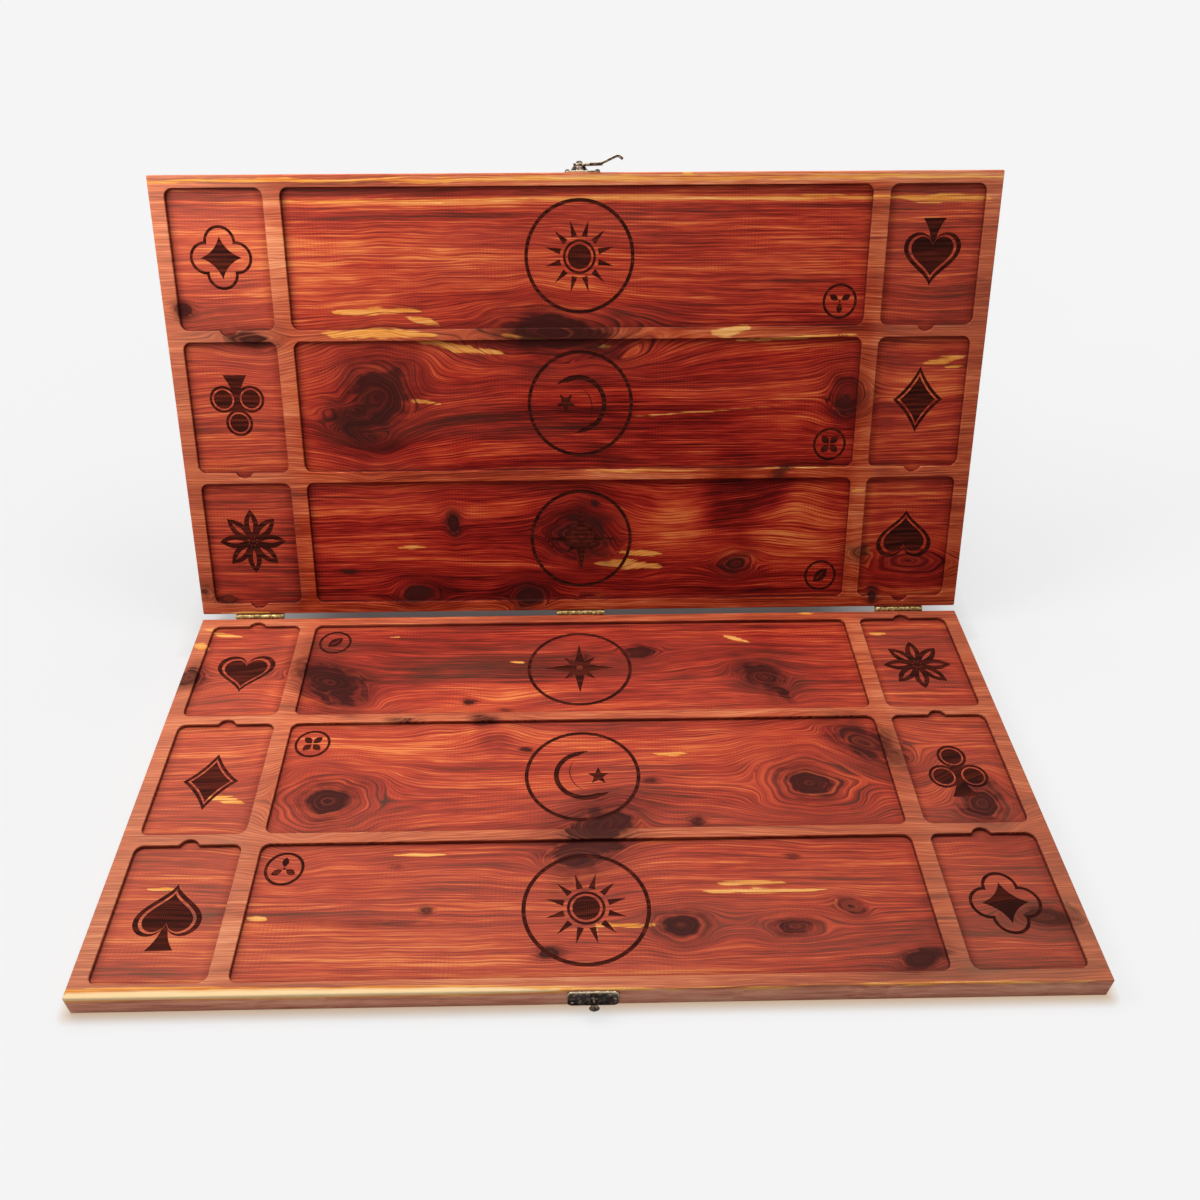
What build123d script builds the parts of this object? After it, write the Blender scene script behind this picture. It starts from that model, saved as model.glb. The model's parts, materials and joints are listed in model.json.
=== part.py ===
from build123d import *
import math
import os

# A folding card game board of red cedar: two milled panels, hinged along one long edge and
# closed by a swing hook. All sizes are millimetres and +Z is up. The lower panel lies flat with
# the middle of its underside at the origin, +X along the hinges and +Y towards them. The upper
# panel stands behind it and leans back.

os.makedirs("parts", exist_ok=True)

# Panels
board_width = 609.6
board_depth = 330.2
board_thick = 16.0
arris = 0.8
closed_gap = 0.3
lean_back = 20.8

# Card pockets in two columns, with three long lanes between them
pocket_depth = 3.0
pocket_corner = 6.0
card_width = 69.4
card_length = 98.8
side_margin = 11.0
lane_gap = 12.2
row_gap = 8.2
rows = 3

# Half-round finger notch in the hinge side of every card pocket
notch_radius = 7.0
notch_inset = 2.6

# Glue lines between the boards of each panel, measured from the hinge edge
lower_near_glue_line = 110.8
lower_far_glue_line = 268.0
upper_near_glue_line = 116.6
upper_far_glue_line = 271.6

# Rolled butt hinges with four knuckles, two on each leaf
hinge_length = 38.1
barrel_radius = 2.27
leaf_thick = 1.05
leaf_reach = 11.1
leaf_corner = 1.0
knuckles = 4
knuckle_gap = 0.2
knuckle_clearance = 0.3
curl_slit = 0.2
pin_radius = 1.15
pin_clearance = 0.05
leaf_screw_pitch = 23.0
leaf_screw_drop = 7.1

# Countersunk hinge screws
flat_head_radius = 2.1
flat_shank_radius = 1.1
flat_screw_length = 9.5
flat_head_clearance = 0.1
pilot_clearance = 0.05
pilot_spare = 0.5

# Round-headed screws of the latch and the catch
round_head_radius = 1.75
round_head_height = 1.0
round_head_slope = 0.6
round_shank_radius = 0.9
round_screw_length = 8.0

# Swing hook latch on the free edge of the upper panel
latch_x = 1.2
plate_thick = 1.2
plate_width = 14.4
plate_corner = 3.2
plate_bevel = 0.35
latch_plate_length = 25.5
latch_plate_offset = 2.2
boss_height = 4.2
boss_foot_radius = 6.4
boss_top_radius = 4.4
latch_screw_inset = 2.1
latch_screw_spread = 9.6
hook_thick = 2.0
hook_clearance = 0.05
hook_eye_radius = 4.2
hook_arm_width = 4.0
hook_wall = 2.5
hook_mouth_clearance = 0.4
hook_turn = 45.0
hook_shoulder_turn = 10.0
tab_tip = 31.8
tab_thick = 1.7
tab_neck_width = 3.0
tab_width = 6.4
tab_head_length = 9.2
tab_head_shift = 3.3
tab_tip_shift = 4.1
tab_rise = 5.9
tab_crest = 4.2
tab_bend = 3.0
tab_tip_drop = 2.6
rivet_radius = 1.5
rivet_clearance = 0.05
rivet_head_radius = 2.4
rivet_head_height = 1.7
rivet_head_slope = 1.0
rivet_head_gap = 0.1

# Catch plate and post on the free edge of the lower panel
catch_plate_length = 30.6
catch_plate_offset = -0.6
catch_screw_inset = 3.0
catch_screw_spread = 8.4
post_neck_radius = 1.9
post_tenon_radius = 1.4
post_foot_radius = 2.9
post_foot_height = 0.8
post_head_radius = 3.15
post_head_height = 1.3
post_head_slope = 0.7
post_head_gap = 0.4
post_clearance = 0.05

# How far a cutting shape runs past the work
overcut = 2.0

# Each panel is drawn in its own frame: X along the hinge pins with the origin on their axis,
# -Y from the hinge edge to the free edge, and the playing face upwards.
hinge_edge_y = -barrel_radius
free_edge_y = hinge_edge_y - board_depth
face_z = -closed_gap / 2
middle_z = face_z - board_thick / 2

pin_y = board_depth / 2 + barrel_radius
pin_z = board_thick - face_z
lower_at = Location((0, pin_y, pin_z))
upper_at = lower_at * Location((0, 0, 0), (90 - lean_back, 0, 0)) * Location((0, 0, 0), (0, 0, 180))

end_margin = (board_depth - rows * card_length - (rows - 1) * row_gap) / 2
row_y = [hinge_edge_y - end_margin - card_length / 2 - i * (card_length + row_gap) for i in range(rows)]
column_x = board_width / 2 - side_margin - card_width / 2
lane_width = board_width - 2 * (side_margin + card_width + lane_gap)
notch_y = card_length / 2 - notch_inset

# The outer hinges sit behind the two pocket columns and the third in the middle
hinge_x = {"left": -column_x, "middle": 0.0, "right": column_x}
leaf_screw_x = [-leaf_screw_pitch / 2, leaf_screw_pitch / 2]

# The latch frames: X along the edge, Z out of it. The hook points along +X of the row.
latch_on_edge = Plane(origin=(-latch_x, free_edge_y, middle_z), x_dir=(-1, 0, 0), z_dir=(0, -1, 0))
catch_on_edge = Plane(origin=(latch_x, free_edge_y, middle_z), x_dir=(1, 0, 0), z_dir=(0, -1, 0))
latch_screw_places = [
    (x, y)
    for x in (
        latch_plate_offset - latch_plate_length / 2 + latch_screw_inset,
        latch_plate_offset + latch_plate_length / 2 - latch_screw_inset,
    )
    for y in (-latch_screw_spread / 2, latch_screw_spread / 2)
]
catch_left = catch_plate_offset - catch_plate_length / 2 + catch_screw_inset
catch_right = catch_plate_offset + catch_plate_length / 2 - catch_screw_inset
catch_screw_places = [
    (catch_left, -catch_screw_spread / 2),
    (catch_left, catch_screw_spread / 2),
    (catch_right, 0),
]

# The milled panel before its glue lines are cut: both panels are the same
with BuildPart() as milled_panel:
    with BuildSketch(Plane.XY.offset(face_z)):
        with Locations((0, (hinge_edge_y + free_edge_y) / 2)):
            Rectangle(board_width, board_depth)
    extrude(amount=-board_thick)
    chamfer(milled_panel.edges(), arris)
    with BuildSketch(Plane.XY.offset(face_z)):
        for y in row_y:
            with Locations((-column_x, y), (column_x, y)):
                RectangleRounded(card_width, card_length, pocket_corner)
            with Locations((-column_x, y + notch_y), (column_x, y + notch_y)):
                Circle(notch_radius)
            with Locations((0, y)):
                RectangleRounded(lane_width, card_length, pocket_corner)
    extrude(amount=-pocket_depth, mode=Mode.SUBTRACT)


def glued_board(near, far, hinge_holes=False, edge_plane=None, edge_holes=()):
    """One board of a panel, from one glue line to the next, with the screw holes in its edge."""
    with BuildPart() as board:
        add(milled_panel.part)
        with Locations((0, hinge_edge_y - (near + far) / 2, middle_z)):
            Box(board_width + overcut, far - near, board_thick + overcut, mode=Mode.INTERSECT)
        if hinge_holes:
            holes = [
                Plane(origin=(x + dx, hinge_edge_y, -leaf_screw_drop), z_dir=(0, 1, 0)).location
                for x in hinge_x.values()
                for dx in leaf_screw_x
            ]
            with Locations(*holes):
                Hole(flat_shank_radius + pilot_clearance, flat_screw_length - leaf_thick + pilot_spare)
        if edge_holes:
            with Locations(*[edge_plane.location * Location((x, y, 0)) for x, y in edge_holes]):
                Hole(round_shank_radius + pilot_clearance, round_screw_length - plate_thick + pilot_spare)
    return board.part


def write_piece(piece, label, place):
    """Puts a piece drawn in its panel's frame where that panel is, and writes it."""
    with BuildPart() as placed:
        with Locations(place):
            add(piece)
    placed.part.label = label
    export_step(placed.part, f"parts/{label}.step")


lower_boards = {
    "lower_board_hinge_side": glued_board(0, lower_near_glue_line, hinge_holes=True),
    "lower_board_middle": glued_board(lower_near_glue_line, lower_far_glue_line),
    "lower_board_free_side": glued_board(
        lower_far_glue_line, board_depth, edge_plane=catch_on_edge, edge_holes=catch_screw_places
    ),
}
upper_boards = {
    "upper_board_hinge_side": glued_board(0, upper_near_glue_line, hinge_holes=True),
    "upper_board_middle": glued_board(upper_near_glue_line, upper_far_glue_line),
    "upper_board_free_side": glued_board(
        upper_far_glue_line, board_depth, edge_plane=latch_on_edge, edge_holes=latch_screw_places
    ),
}
for label, board in lower_boards.items():
    write_piece(board, label, lower_at)
for label, board in upper_boards.items():
    write_piece(board, label, upper_at)

# One hinge leaf, centred on the pin axis. The plate lies on the panel's hinge edge and its two
# knuckles roll over the pin towards the other leaf. The other leaf is the same piece turned round.
knuckle_pitch = (hinge_length + knuckle_gap) / knuckles
knuckle_length = knuckle_pitch - knuckle_gap
bore_radius = pin_radius + pin_clearance
plate_top = barrel_radius + knuckle_clearance
slit_y = -barrel_radius + leaf_thick + curl_slit / 2
knuckle_planes = [Plane.YZ.offset(-hinge_length / 2 + i * knuckle_pitch) for i in range(0, knuckles, 2)]
with BuildPart() as hinge_leaf:
    with BuildSketch(Plane.XZ.offset(barrel_radius)):
        with Locations((0, -(leaf_reach + plate_top) / 2)):
            Rectangle(hinge_length, leaf_reach - plate_top)
    extrude(amount=-leaf_thick)
    fillet(hinge_leaf.edges().filter_by(Axis.Y).group_by(Axis.Z)[0], leaf_corner)
    with BuildSketch(*knuckle_planes):
        Circle(barrel_radius)
        with Locations((-barrel_radius + leaf_thick / 2, -plate_top / 2)):
            Rectangle(leaf_thick, plate_top)
        Circle(bore_radius, mode=Mode.SUBTRACT)
        with Locations((slit_y, -barrel_radius)):
            Rectangle(curl_slit, 2 * barrel_radius - pin_radius, mode=Mode.SUBTRACT)
    extrude(amount=knuckle_length)
    leaf_hole_planes = [
        Plane(origin=(dx, -barrel_radius + leaf_thick, -leaf_screw_drop), z_dir=(0, 1, 0)).location
        for dx in leaf_screw_x
    ]
    with Locations(*leaf_hole_planes):
        Cone(
            flat_shank_radius + flat_head_clearance,
            flat_head_radius + flat_head_clearance,
            leaf_thick,
            align=(Align.CENTER, Align.CENTER, Align.MAX),
            mode=Mode.SUBTRACT,
        )

with BuildPart() as hinge_pin:
    Cylinder(pin_radius, hinge_length, rotation=(0, 90, 0))


# A countersunk screw with its head level with Z = 0, pointing down. Its cone is as deep as the leaf.
with BuildPart() as flat_screw:
    with BuildSketch(Plane.XZ):
        with BuildLine():
            Polyline(
                (0, 0),
                (flat_head_radius, 0),
                (flat_shank_radius, -leaf_thick),
                (flat_shank_radius, -flat_screw_length),
                (0, -flat_screw_length),
                close=True,
            )
        make_face()
    revolve(axis=Axis.Z)

# A round-headed screw with the underside of its head at Z = 0
with BuildPart() as round_screw:
    with BuildSketch(Plane.XZ):
        with BuildLine():
            Polyline(
                (0, round_head_height),
                (0, -round_screw_length),
                (round_shank_radius, -round_screw_length),
                (round_shank_radius, 0),
                (round_head_radius, 0),
                (round_head_radius - round_head_slope, round_head_height),
                close=True,
            )
        make_face()
    revolve(axis=Axis.Z)

for side, x in hinge_x.items():
    write_piece(hinge_leaf.part, f"hinge_{side}_lower_leaf", lower_at * Location((x, 0, 0)))
    write_piece(hinge_leaf.part, f"hinge_{side}_upper_leaf", upper_at * Location((-x, 0, 0)))
    write_piece(hinge_pin.part, f"hinge_{side}_pin", lower_at * Location((x, 0, 0)))

leaf_screw_places = [
    Plane(origin=(x + dx, -barrel_radius + leaf_thick, -leaf_screw_drop), z_dir=(0, 1, 0)).location
    for x in hinge_x.values()
    for dx in leaf_screw_x
]
with BuildPart() as hinge_screws:
    with Locations(*leaf_screw_places):
        add(flat_screw.part)
write_piece(hinge_screws.part, "hinge_screws_lower", lower_at)
write_piece(hinge_screws.part, "hinge_screws_upper", upper_at)

# The latch is drawn with X along the hook, Z out of the edge and the rivet at the origin
with BuildPart() as latch_plate:
    with BuildSketch(Plane.XY):
        with Locations((latch_plate_offset, 0)):
            RectangleRounded(latch_plate_length, plate_width, plate_corner)
    extrude(amount=plate_thick)
    chamfer(latch_plate.faces().sort_by(Axis.Z)[-1].edges(), plate_bevel)
    with BuildSketch(Plane.XY.offset(plate_thick)):
        Circle(boss_foot_radius)
    with BuildSketch(Plane.XY.offset(boss_height)):
        Circle(boss_top_radius)
    loft()
    with Locations((0, 0, boss_height)):
        Hole(rivet_radius + rivet_clearance)
    with Locations(*[(x, y, plate_thick) for x, y in latch_screw_places]):
        Hole(round_shank_radius + pilot_clearance)

# The hook's mouth closes on the catch post when the panels are shut and the hook is turned in
hook_low = boss_height + hook_clearance
hook_top = hook_low + hook_thick
post_reach = -2 * middle_z
mouth_radius = post_neck_radius + hook_mouth_clearance
ring_radius = mouth_radius + hook_wall
mouth_x = post_reach * math.sin(math.radians(hook_turn))
mouth_y = -post_reach * math.cos(math.radians(hook_turn))
shoulder_radius = ring_radius - hook_wall / 2
shoulder_x = mouth_x + shoulder_radius * math.sin(math.radians(hook_shoulder_turn))
shoulder_y = mouth_y + shoulder_radius * math.cos(math.radians(hook_shoulder_turn))

# The finger tab leaves the hook's shoulder, rises away from the edge and turns down at its tip
root_x = shoulder_x - hook_wall
neck_x = shoulder_x + hook_wall
head_x = tab_tip - tab_head_length
head_y = shoulder_y + tab_head_shift
tip_y = shoulder_y + tab_tip_shift
root_z = hook_top - tab_thick / 2
crest_x = tab_tip - tab_crest
crest_z = root_z + tab_rise
with BuildPart() as finger_tab:
    with BuildSketch(Plane.XZ):
        with BuildLine() as tab_side:
            FilletPolyline(
                (root_x, root_z),
                (neck_x, root_z),
                (crest_x, crest_z),
                (tab_tip - tab_thick / 2, crest_z - tab_tip_drop),
                radius=tab_bend,
            )
        trace(tab_side.line, tab_thick)
    extrude(amount=post_reach + overcut, both=True)
    with BuildSketch(Plane.XY):
        with BuildLine():
            neck_line = Polyline(
                (root_x, shoulder_y + tab_neck_width / 2),
                (neck_x, shoulder_y + tab_neck_width / 2),
                (head_x, head_y + tab_width / 2),
                (tab_tip, tip_y + tab_width / 2),
            )
            far_line = Polyline(
                (tab_tip, tip_y - tab_width / 2),
                (head_x, head_y - tab_width / 2),
                (neck_x, shoulder_y - tab_neck_width / 2),
                (root_x, shoulder_y - tab_neck_width / 2),
            )
            Line(neck_line @ 1, far_line @ 0)
            Line(far_line @ 1, neck_line @ 0)
        make_face()
    extrude(amount=crest_z + overcut, mode=Mode.INTERSECT)

with BuildPart() as latch_hook:
    with BuildSketch(Plane.XY.offset(hook_low)):
        Circle(hook_eye_radius)
        with Locations((mouth_x, mouth_y)):
            Circle(ring_radius)
        with BuildLine() as arm_line:
            Line((0, 0), (shoulder_x, shoulder_y))
        trace(arm_line.line, hook_arm_width)
    extrude(amount=hook_thick)
    add(finger_tab.part)
    # The post comes in along an arc about the rivet, so the mouth is a stretch of that ring
    with BuildSketch(Plane.XY.offset(hook_low)):
        with Locations((mouth_x, mouth_y)):
            Circle(mouth_radius)
        with BuildLine():
            outer_wall = CenterArc((0, 0), post_reach + mouth_radius, -hook_turn, -hook_turn)
            inner_wall = CenterArc((0, 0), post_reach - mouth_radius, -hook_turn, -hook_turn)
            Line(outer_wall @ 0, inner_wall @ 0)
            Line(outer_wall @ 1, inner_wall @ 1)
        make_face()
    extrude(amount=hook_thick, mode=Mode.SUBTRACT)
    with Locations((0, 0, hook_top)):
        Hole(rivet_radius + rivet_clearance)

with BuildPart() as latch_rivet:
    with BuildSketch(Plane.XZ):
        with BuildLine():
            head_foot = hook_top + rivet_head_gap
            Polyline(
                (0, head_foot + rivet_head_height),
                (0, 0),
                (rivet_radius, 0),
                (rivet_radius, head_foot),
                (rivet_head_radius, head_foot),
                (rivet_head_radius - rivet_head_slope, head_foot + rivet_head_height),
                close=True,
            )
        make_face()
    revolve(axis=Axis.Z)

with BuildPart() as latch_screws:
    with Locations(*[(x, y, plate_thick) for x, y in latch_screw_places]):
        add(round_screw.part)

latch_at = upper_at * latch_on_edge.location
write_piece(latch_plate.part, "latch_plate", latch_at)
write_piece(latch_hook.part, "latch_hook", latch_at)
write_piece(latch_rivet.part, "latch_rivet", latch_at)
write_piece(latch_screws.part, "latch_screws", latch_at)

with BuildPart() as catch_plate:
    with BuildSketch(Plane.XY):
        with Locations((catch_plate_offset, 0)):
            RectangleRounded(catch_plate_length, plate_width, plate_corner)
    extrude(amount=plate_thick)
    chamfer(catch_plate.faces().sort_by(Axis.Z)[-1].edges(), plate_bevel)
    with Locations((0, 0, plate_thick)):
        Hole(post_tenon_radius + post_clearance)
    with Locations(*[(x, y, plate_thick) for x, y in catch_screw_places]):
        Hole(round_shank_radius + pilot_clearance)

# The turned post: a tenon in the plate, a flared foot, a neck for the hook and a domed head
head_low = hook_top + post_head_gap
with BuildPart() as catch_post:
    with BuildSketch(Plane.XZ):
        with BuildLine():
            Polyline(
                (0, head_low + post_head_height),
                (0, 0),
                (post_tenon_radius, 0),
                (post_tenon_radius, plate_thick),
                (post_foot_radius, plate_thick),
                (post_neck_radius, plate_thick + post_foot_height),
                (post_neck_radius, head_low),
                (post_head_radius, head_low),
                (post_head_radius - post_head_slope, head_low + post_head_height),
                close=True,
            )
        make_face()
    revolve(axis=Axis.Z)

with BuildPart() as catch_screws:
    with Locations(*[(x, y, plate_thick) for x, y in catch_screw_places]):
        add(round_screw.part)

catch_at = lower_at * catch_on_edge.location
write_piece(catch_plate.part, "catch_plate", catch_at)
write_piece(catch_post.part, "catch_post", catch_at)
write_piece(catch_screws.part, "catch_screws", catch_at)
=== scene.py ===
import json
import math

import bmesh
import bpy
import numpy as np
from mathutils import Matrix, Vector
from mathutils.geometry import delaunay_2d_cdt


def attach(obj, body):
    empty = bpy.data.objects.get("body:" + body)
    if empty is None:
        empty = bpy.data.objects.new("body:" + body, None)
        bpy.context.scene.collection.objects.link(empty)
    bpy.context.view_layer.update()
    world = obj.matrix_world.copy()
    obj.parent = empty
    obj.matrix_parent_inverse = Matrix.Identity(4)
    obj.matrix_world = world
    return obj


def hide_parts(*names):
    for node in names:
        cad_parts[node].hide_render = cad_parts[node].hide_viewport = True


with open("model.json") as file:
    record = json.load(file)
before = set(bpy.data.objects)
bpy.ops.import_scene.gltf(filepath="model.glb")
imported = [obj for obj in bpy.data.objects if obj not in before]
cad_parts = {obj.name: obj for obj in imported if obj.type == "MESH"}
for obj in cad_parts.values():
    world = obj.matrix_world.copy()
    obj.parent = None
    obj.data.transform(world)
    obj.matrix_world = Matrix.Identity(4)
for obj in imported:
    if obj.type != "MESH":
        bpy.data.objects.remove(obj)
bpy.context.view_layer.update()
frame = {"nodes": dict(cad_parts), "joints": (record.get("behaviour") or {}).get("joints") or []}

# THE VIEW. The open board is seen from in front and well above, a little left of its middle,
# as it was photographed: looking down by 40 degrees onto the lower panel.

view_yaw, view_pitch, view_roll = math.radians(1.101), math.radians(40.463), math.radians(0.018)
view_from = (-0.0137, -0.4939, 0.5908)
picture_side, focal_px, centre_x_px, centre_y_px = 1200, 1078.59, 579.45, 602.88
camera_data = bpy.data.cameras.new("view")
camera_data.sensor_width = 36.0
camera_data.lens = camera_data.sensor_width * focal_px / picture_side
camera_data.shift_x = 0.5 - centre_x_px / picture_side
camera_data.shift_y = centre_y_px / picture_side - 0.5
camera_data.clip_start, camera_data.clip_end = 0.05, 50
camera = bpy.data.objects.new("view", camera_data)
camera.matrix_world = (
    Matrix.Translation(view_from)
    @ Matrix.Rotation(-view_yaw, 4, "Z")
    @ Matrix.Rotation(math.pi / 2 - view_pitch, 4, "X")
    @ Matrix.Rotation(view_roll, 4, "Z")
)
bpy.context.scene.collection.objects.link(camera)
bpy.context.scene.camera = camera
bpy.context.scene.view_settings.view_transform = "Standard"

# THE CEDAR PANELS. Two panels of eastern red cedar, each glued up from three boards, planed to
# 16 mm and milled with six card pockets and three long lanes. The figures in their floors are
# burnt in shallow.

# In a panel's own frame, in millimetres: x runs along the hinges, y is 0 at the hinge edge and
# negative inside the panel, and z points out of the playing face
panel_width, panel_depth, panel_thick = 609.6, 330.2, 16.0
lower_cuts, upper_cuts = (110.8, 268.0), (116.6, 271.6)
plan_round, outer_round = 1.2, 1.0
pocket_depth, pocket_corner = 3.0, 6.0
card_column_x, card_half_width = 259.1, 34.7
lane_half_width = 212.2
pocket_spans = [(8.7, 107.5), (115.7, 214.5), (222.7, 321.5)]
notch_radius, notch_inset, notch_fillet = 7.0, 2.6, 1.0
rim_round, floor_round = 0.45, 0.6
burn_depth = 0.35
ring_outer, ring_line = 40.2, 2.6
small_ring_outer, small_ring_line = 12.8, 2.0
fill_step = 2.6, 1.0

barrel_radius, pin_above_face = 2.27, 0.15
fold_pin = Vector(frame["joints"][0]["pos_m"]) * 1000
rise = math.radians(69.2)
turn = Matrix.Rotation(rise, 3, "X") @ Matrix.Rotation(math.pi, 3, "Z")
lower_place = Matrix.Translation((0, panel_depth / 2, panel_thick))
upper_corner = fold_pin + turn @ Vector((0, -barrel_radius, -pin_above_face))
upper_place = Matrix.Translation(upper_corner) @ turn.to_4x4()


def rounded_box_outline(x0, x1, y0, y1, radius, steps=12):
    """Corner arcs of one radius joined by straight runs, anticlockwise."""
    corners = [(x1 - radius, y1 - radius, 0), (x0 + radius, y1 - radius, 90),
               (x0 + radius, y0 + radius, 180), (x1 - radius, y0 + radius, 270)]
    parts = []
    for cx, cy, start in corners:
        a = np.radians(start + np.linspace(0, 90, steps + 1))
        parts.append(np.c_[cx + radius * np.cos(a), cy + radius * np.sin(a)])
    return np.vstack(parts)


def notched_outline(cx, near, far):
    """A card pocket's outline: a rounded box whose hinge side has a half-round finger notch, with
    a small fillet where the notch's circle leaves the side. Anticlockwise, starting at the notch."""
    side = -near
    across = notch_radius + notch_fillet
    fx = math.sqrt(across**2 - (notch_inset + notch_fillet) ** 2)
    bend = math.atan2(notch_inset + notch_fillet, fx)
    circle = np.linspace(bend, math.pi - bend, 25)
    notch = np.c_[cx + notch_radius * np.cos(circle), side - notch_inset + notch_radius * np.sin(circle)]
    turn_in = np.linspace(math.pi + bend, 1.5 * math.pi, 5)[::-1]
    right = np.c_[
        cx + fx + notch_fillet * np.cos(turn_in), side + notch_fillet + notch_fillet * np.sin(turn_in)
    ]
    left = np.c_[2 * cx - right[:, 0], right[:, 1]][::-1]
    box = rounded_box_outline(cx - card_half_width, cx + card_half_width, -far, -near, pocket_corner)
    return np.vstack([right[:-1], notch, left[1:], box[13:], box[:13]])


def evenly(outline, longest):
    """Divides each run of a closed outline into equal parts no longer than this."""
    ahead = np.roll(outline, -1, axis=0)
    parts = np.maximum(np.ceil(np.linalg.norm(ahead - outline, axis=1) / longest), 1).astype(int)
    which = np.repeat(np.arange(len(outline)), parts)
    place = np.arange(len(which)) - np.repeat(np.cumsum(parts) - parts, parts)
    share = (place / parts[which])[:, None]
    return outline[which] * (1 - share) + ahead[which] * share


def outline_normals(outline):
    """At each point, the mean of its two runs' left-hand normals, lengthened so that both runs
    move by one unit when the point moves along it."""
    run = np.roll(outline, -1, axis=0) - outline
    run /= np.linalg.norm(run, axis=1)[:, None]
    after = np.c_[-run[:, 1], run[:, 0]]
    mean = after + np.roll(after, 1, axis=0)
    return 2 * mean / (mean**2).sum(1)[:, None]


def ring_quads(n, rows):
    """The quads between rows of n points, each row closed on itself."""
    i = np.arange(n)
    j = (i + 1) % n
    return np.vstack([np.c_[i + k * n, j + k * n, j + (k + 1) * n, i + (k + 1) * n] for k in range(rows - 1)])


def carried_strip(outline, profile):
    """A profile of (offset to the left of the outline, height) carried round a closed outline.
    Returns the points, ring by ring, and the quads between them."""
    out = outline_normals(outline)
    rings = [np.c_[outline + out * d, np.full(len(outline), z)] for d, z in profile]
    return np.vstack(rings), ring_quads(len(outline), len(profile))


class Shell:
    """Points and faces gathered into one closed mesh, with each face's finish and smoothness."""

    def __init__(self):
        self.points, self.faces, self.finish, self.smooth, self.count = [], [], [], [], 0

    def take(self, points, faces, finish=0, smooth=False):
        self.points.append(np.asarray(points, float))
        self.faces += (np.asarray(faces) + self.count).tolist()
        self.finish += [finish] * len(faces)
        self.smooth += [smooth] * len(faces)
        self.count += len(points)


def anticlockwise(outline):
    """The outline, turned round if its signed area is negative."""
    outline = np.asarray(outline, float)
    x, y = outline.T
    return outline if (x * np.roll(y, -1) - np.roll(x, -1) * y).sum() > 0 else outline[::-1]


def fill_face(shell, height, outlines, figures=(), facing=1, grid=fill_step):
    """Fills the flat between closed outlines: inside an odd number of them is wood. A burnt
    figure is a list of closed shapes and a list of the holes left in them. It lies lower by the
    depth of the burning, with upright walls. Loose points on a grid let the grain's numbers vary
    across the flat."""
    loops, parts = [anticlockwise(o) for o in outlines], []
    for shapes, holes in figures:
        first = len(loops)
        loops += [anticlockwise(o) for o in (*shapes, *holes)]
        parts.append((slice(first, first + len(shapes)), slice(first + len(shapes), len(loops))))
    low, high = loops[0].min(0), loops[0].max(0)
    gx, gy = (np.arange(low[k] + grid[k] / 2, high[k], grid[k]) for k in range(2))
    free = np.stack(np.meshgrid(gx, gy), -1).reshape(-1, 2)
    lines = np.vstack([evenly(o, 0.5) for o in loops])
    free = free[~np.isin(*(np.round(p / 0.6).astype(int) @ (1, 100000) for p in (free, lines)))]
    starts = np.cumsum([0] + [len(o) for o in loops])
    rings = [list(range(a, b)) for a, b in zip(starts[:-1], starts[1:])]
    got = delaunay_2d_cdt([Vector(p) for p in np.vstack([*loops, free])], [], rings, 1, 1e-6, True)
    verts, tris = np.array(got[0]), np.array(got[2])
    within = np.zeros((len(tris), len(loops)), bool)
    within[np.repeat(np.arange(len(tris)), list(map(len, got[5]))), np.concatenate(got[5]).astype(int)] = True
    wood = within[:, : len(outlines)].sum(1) % 2 == 1
    burnt = np.zeros(len(tris), bool)
    for shapes, holes in parts:
        burnt |= within[:, shapes].any(1) & ~within[:, holes].any(1)
    if facing < 0:
        tris = tris[:, ::-1]
    flat = np.c_[verts, np.full(len(verts), height)]
    shell.take(flat, tris[wood & ~burnt])
    if burnt.any():
        cut = tris[wood & burnt]
        lowered = flat - [0, 0, burn_depth]
        shell.take(lowered, cut, finish=1)
        edges = np.vstack([cut[:, [0, 1]], cut[:, [1, 2]], cut[:, [2, 0]]])
        n = len(verts)
        rim = edges[~np.isin(edges[:, 0] * n + edges[:, 1], edges[:, 1] * n + edges[:, 0])]
        walls = np.c_[rim[:, 1], rim[:, 1] + n, rim[:, 0] + n, rim[:, 0]]
        shell.take(np.vstack([flat, lowered]), walls, finish=1)


def circle_outline(cx, cy, radius, steps=96):
    """A circle's points at equal steps."""
    a = np.linspace(0, 2 * math.pi, steps, endpoint=False)
    return np.c_[cx + radius * np.cos(a), cy + radius * np.sin(a)]


def ring_figure(outer, line):
    """A plain ring: a circle with a smaller one left out of it."""
    return [circle_outline(0, 0, outer)], [circle_outline(0, 0, outer - line)]


def star_outline(points, outer, inner, turned=0.0):
    """A star: corners on two radii by turns."""
    a = np.linspace(0, 2 * math.pi, 2 * points, endpoint=False) + math.pi / 2 + turned
    r = np.where(np.arange(2 * points) % 2 == 0, outer, inner)
    return np.c_[r * np.cos(a), r * np.sin(a)]


def heart_outline(size, steps=60):
    """The usual heart curve, x as the cube of a sine, y as a sum of four cosines."""
    a = np.linspace(0, 2 * math.pi, steps, endpoint=False) + 0.02
    x = 16 * np.sin(a) ** 3
    y = 13 * np.cos(a) - 5 * np.cos(2 * a) - 2 * np.cos(3 * a) - np.cos(4 * a)
    return np.c_[x, y + 2] * size / 32


def petal_outline(length, width, turned, start=0.0, steps=24):
    """A leaf shape: two equal bows from a start on its axis to its tip."""
    t = np.linspace(0, 1, steps)
    bow = width / 2 * np.sin(math.pi * t) ** 0.9
    x = start + length * t
    shape = np.vstack([np.c_[x, bow], np.c_[x, -bow][-2:0:-1]])
    c, s = math.cos(turned), math.sin(turned)
    return shape @ np.array([[c, s], [-s, c]])


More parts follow.
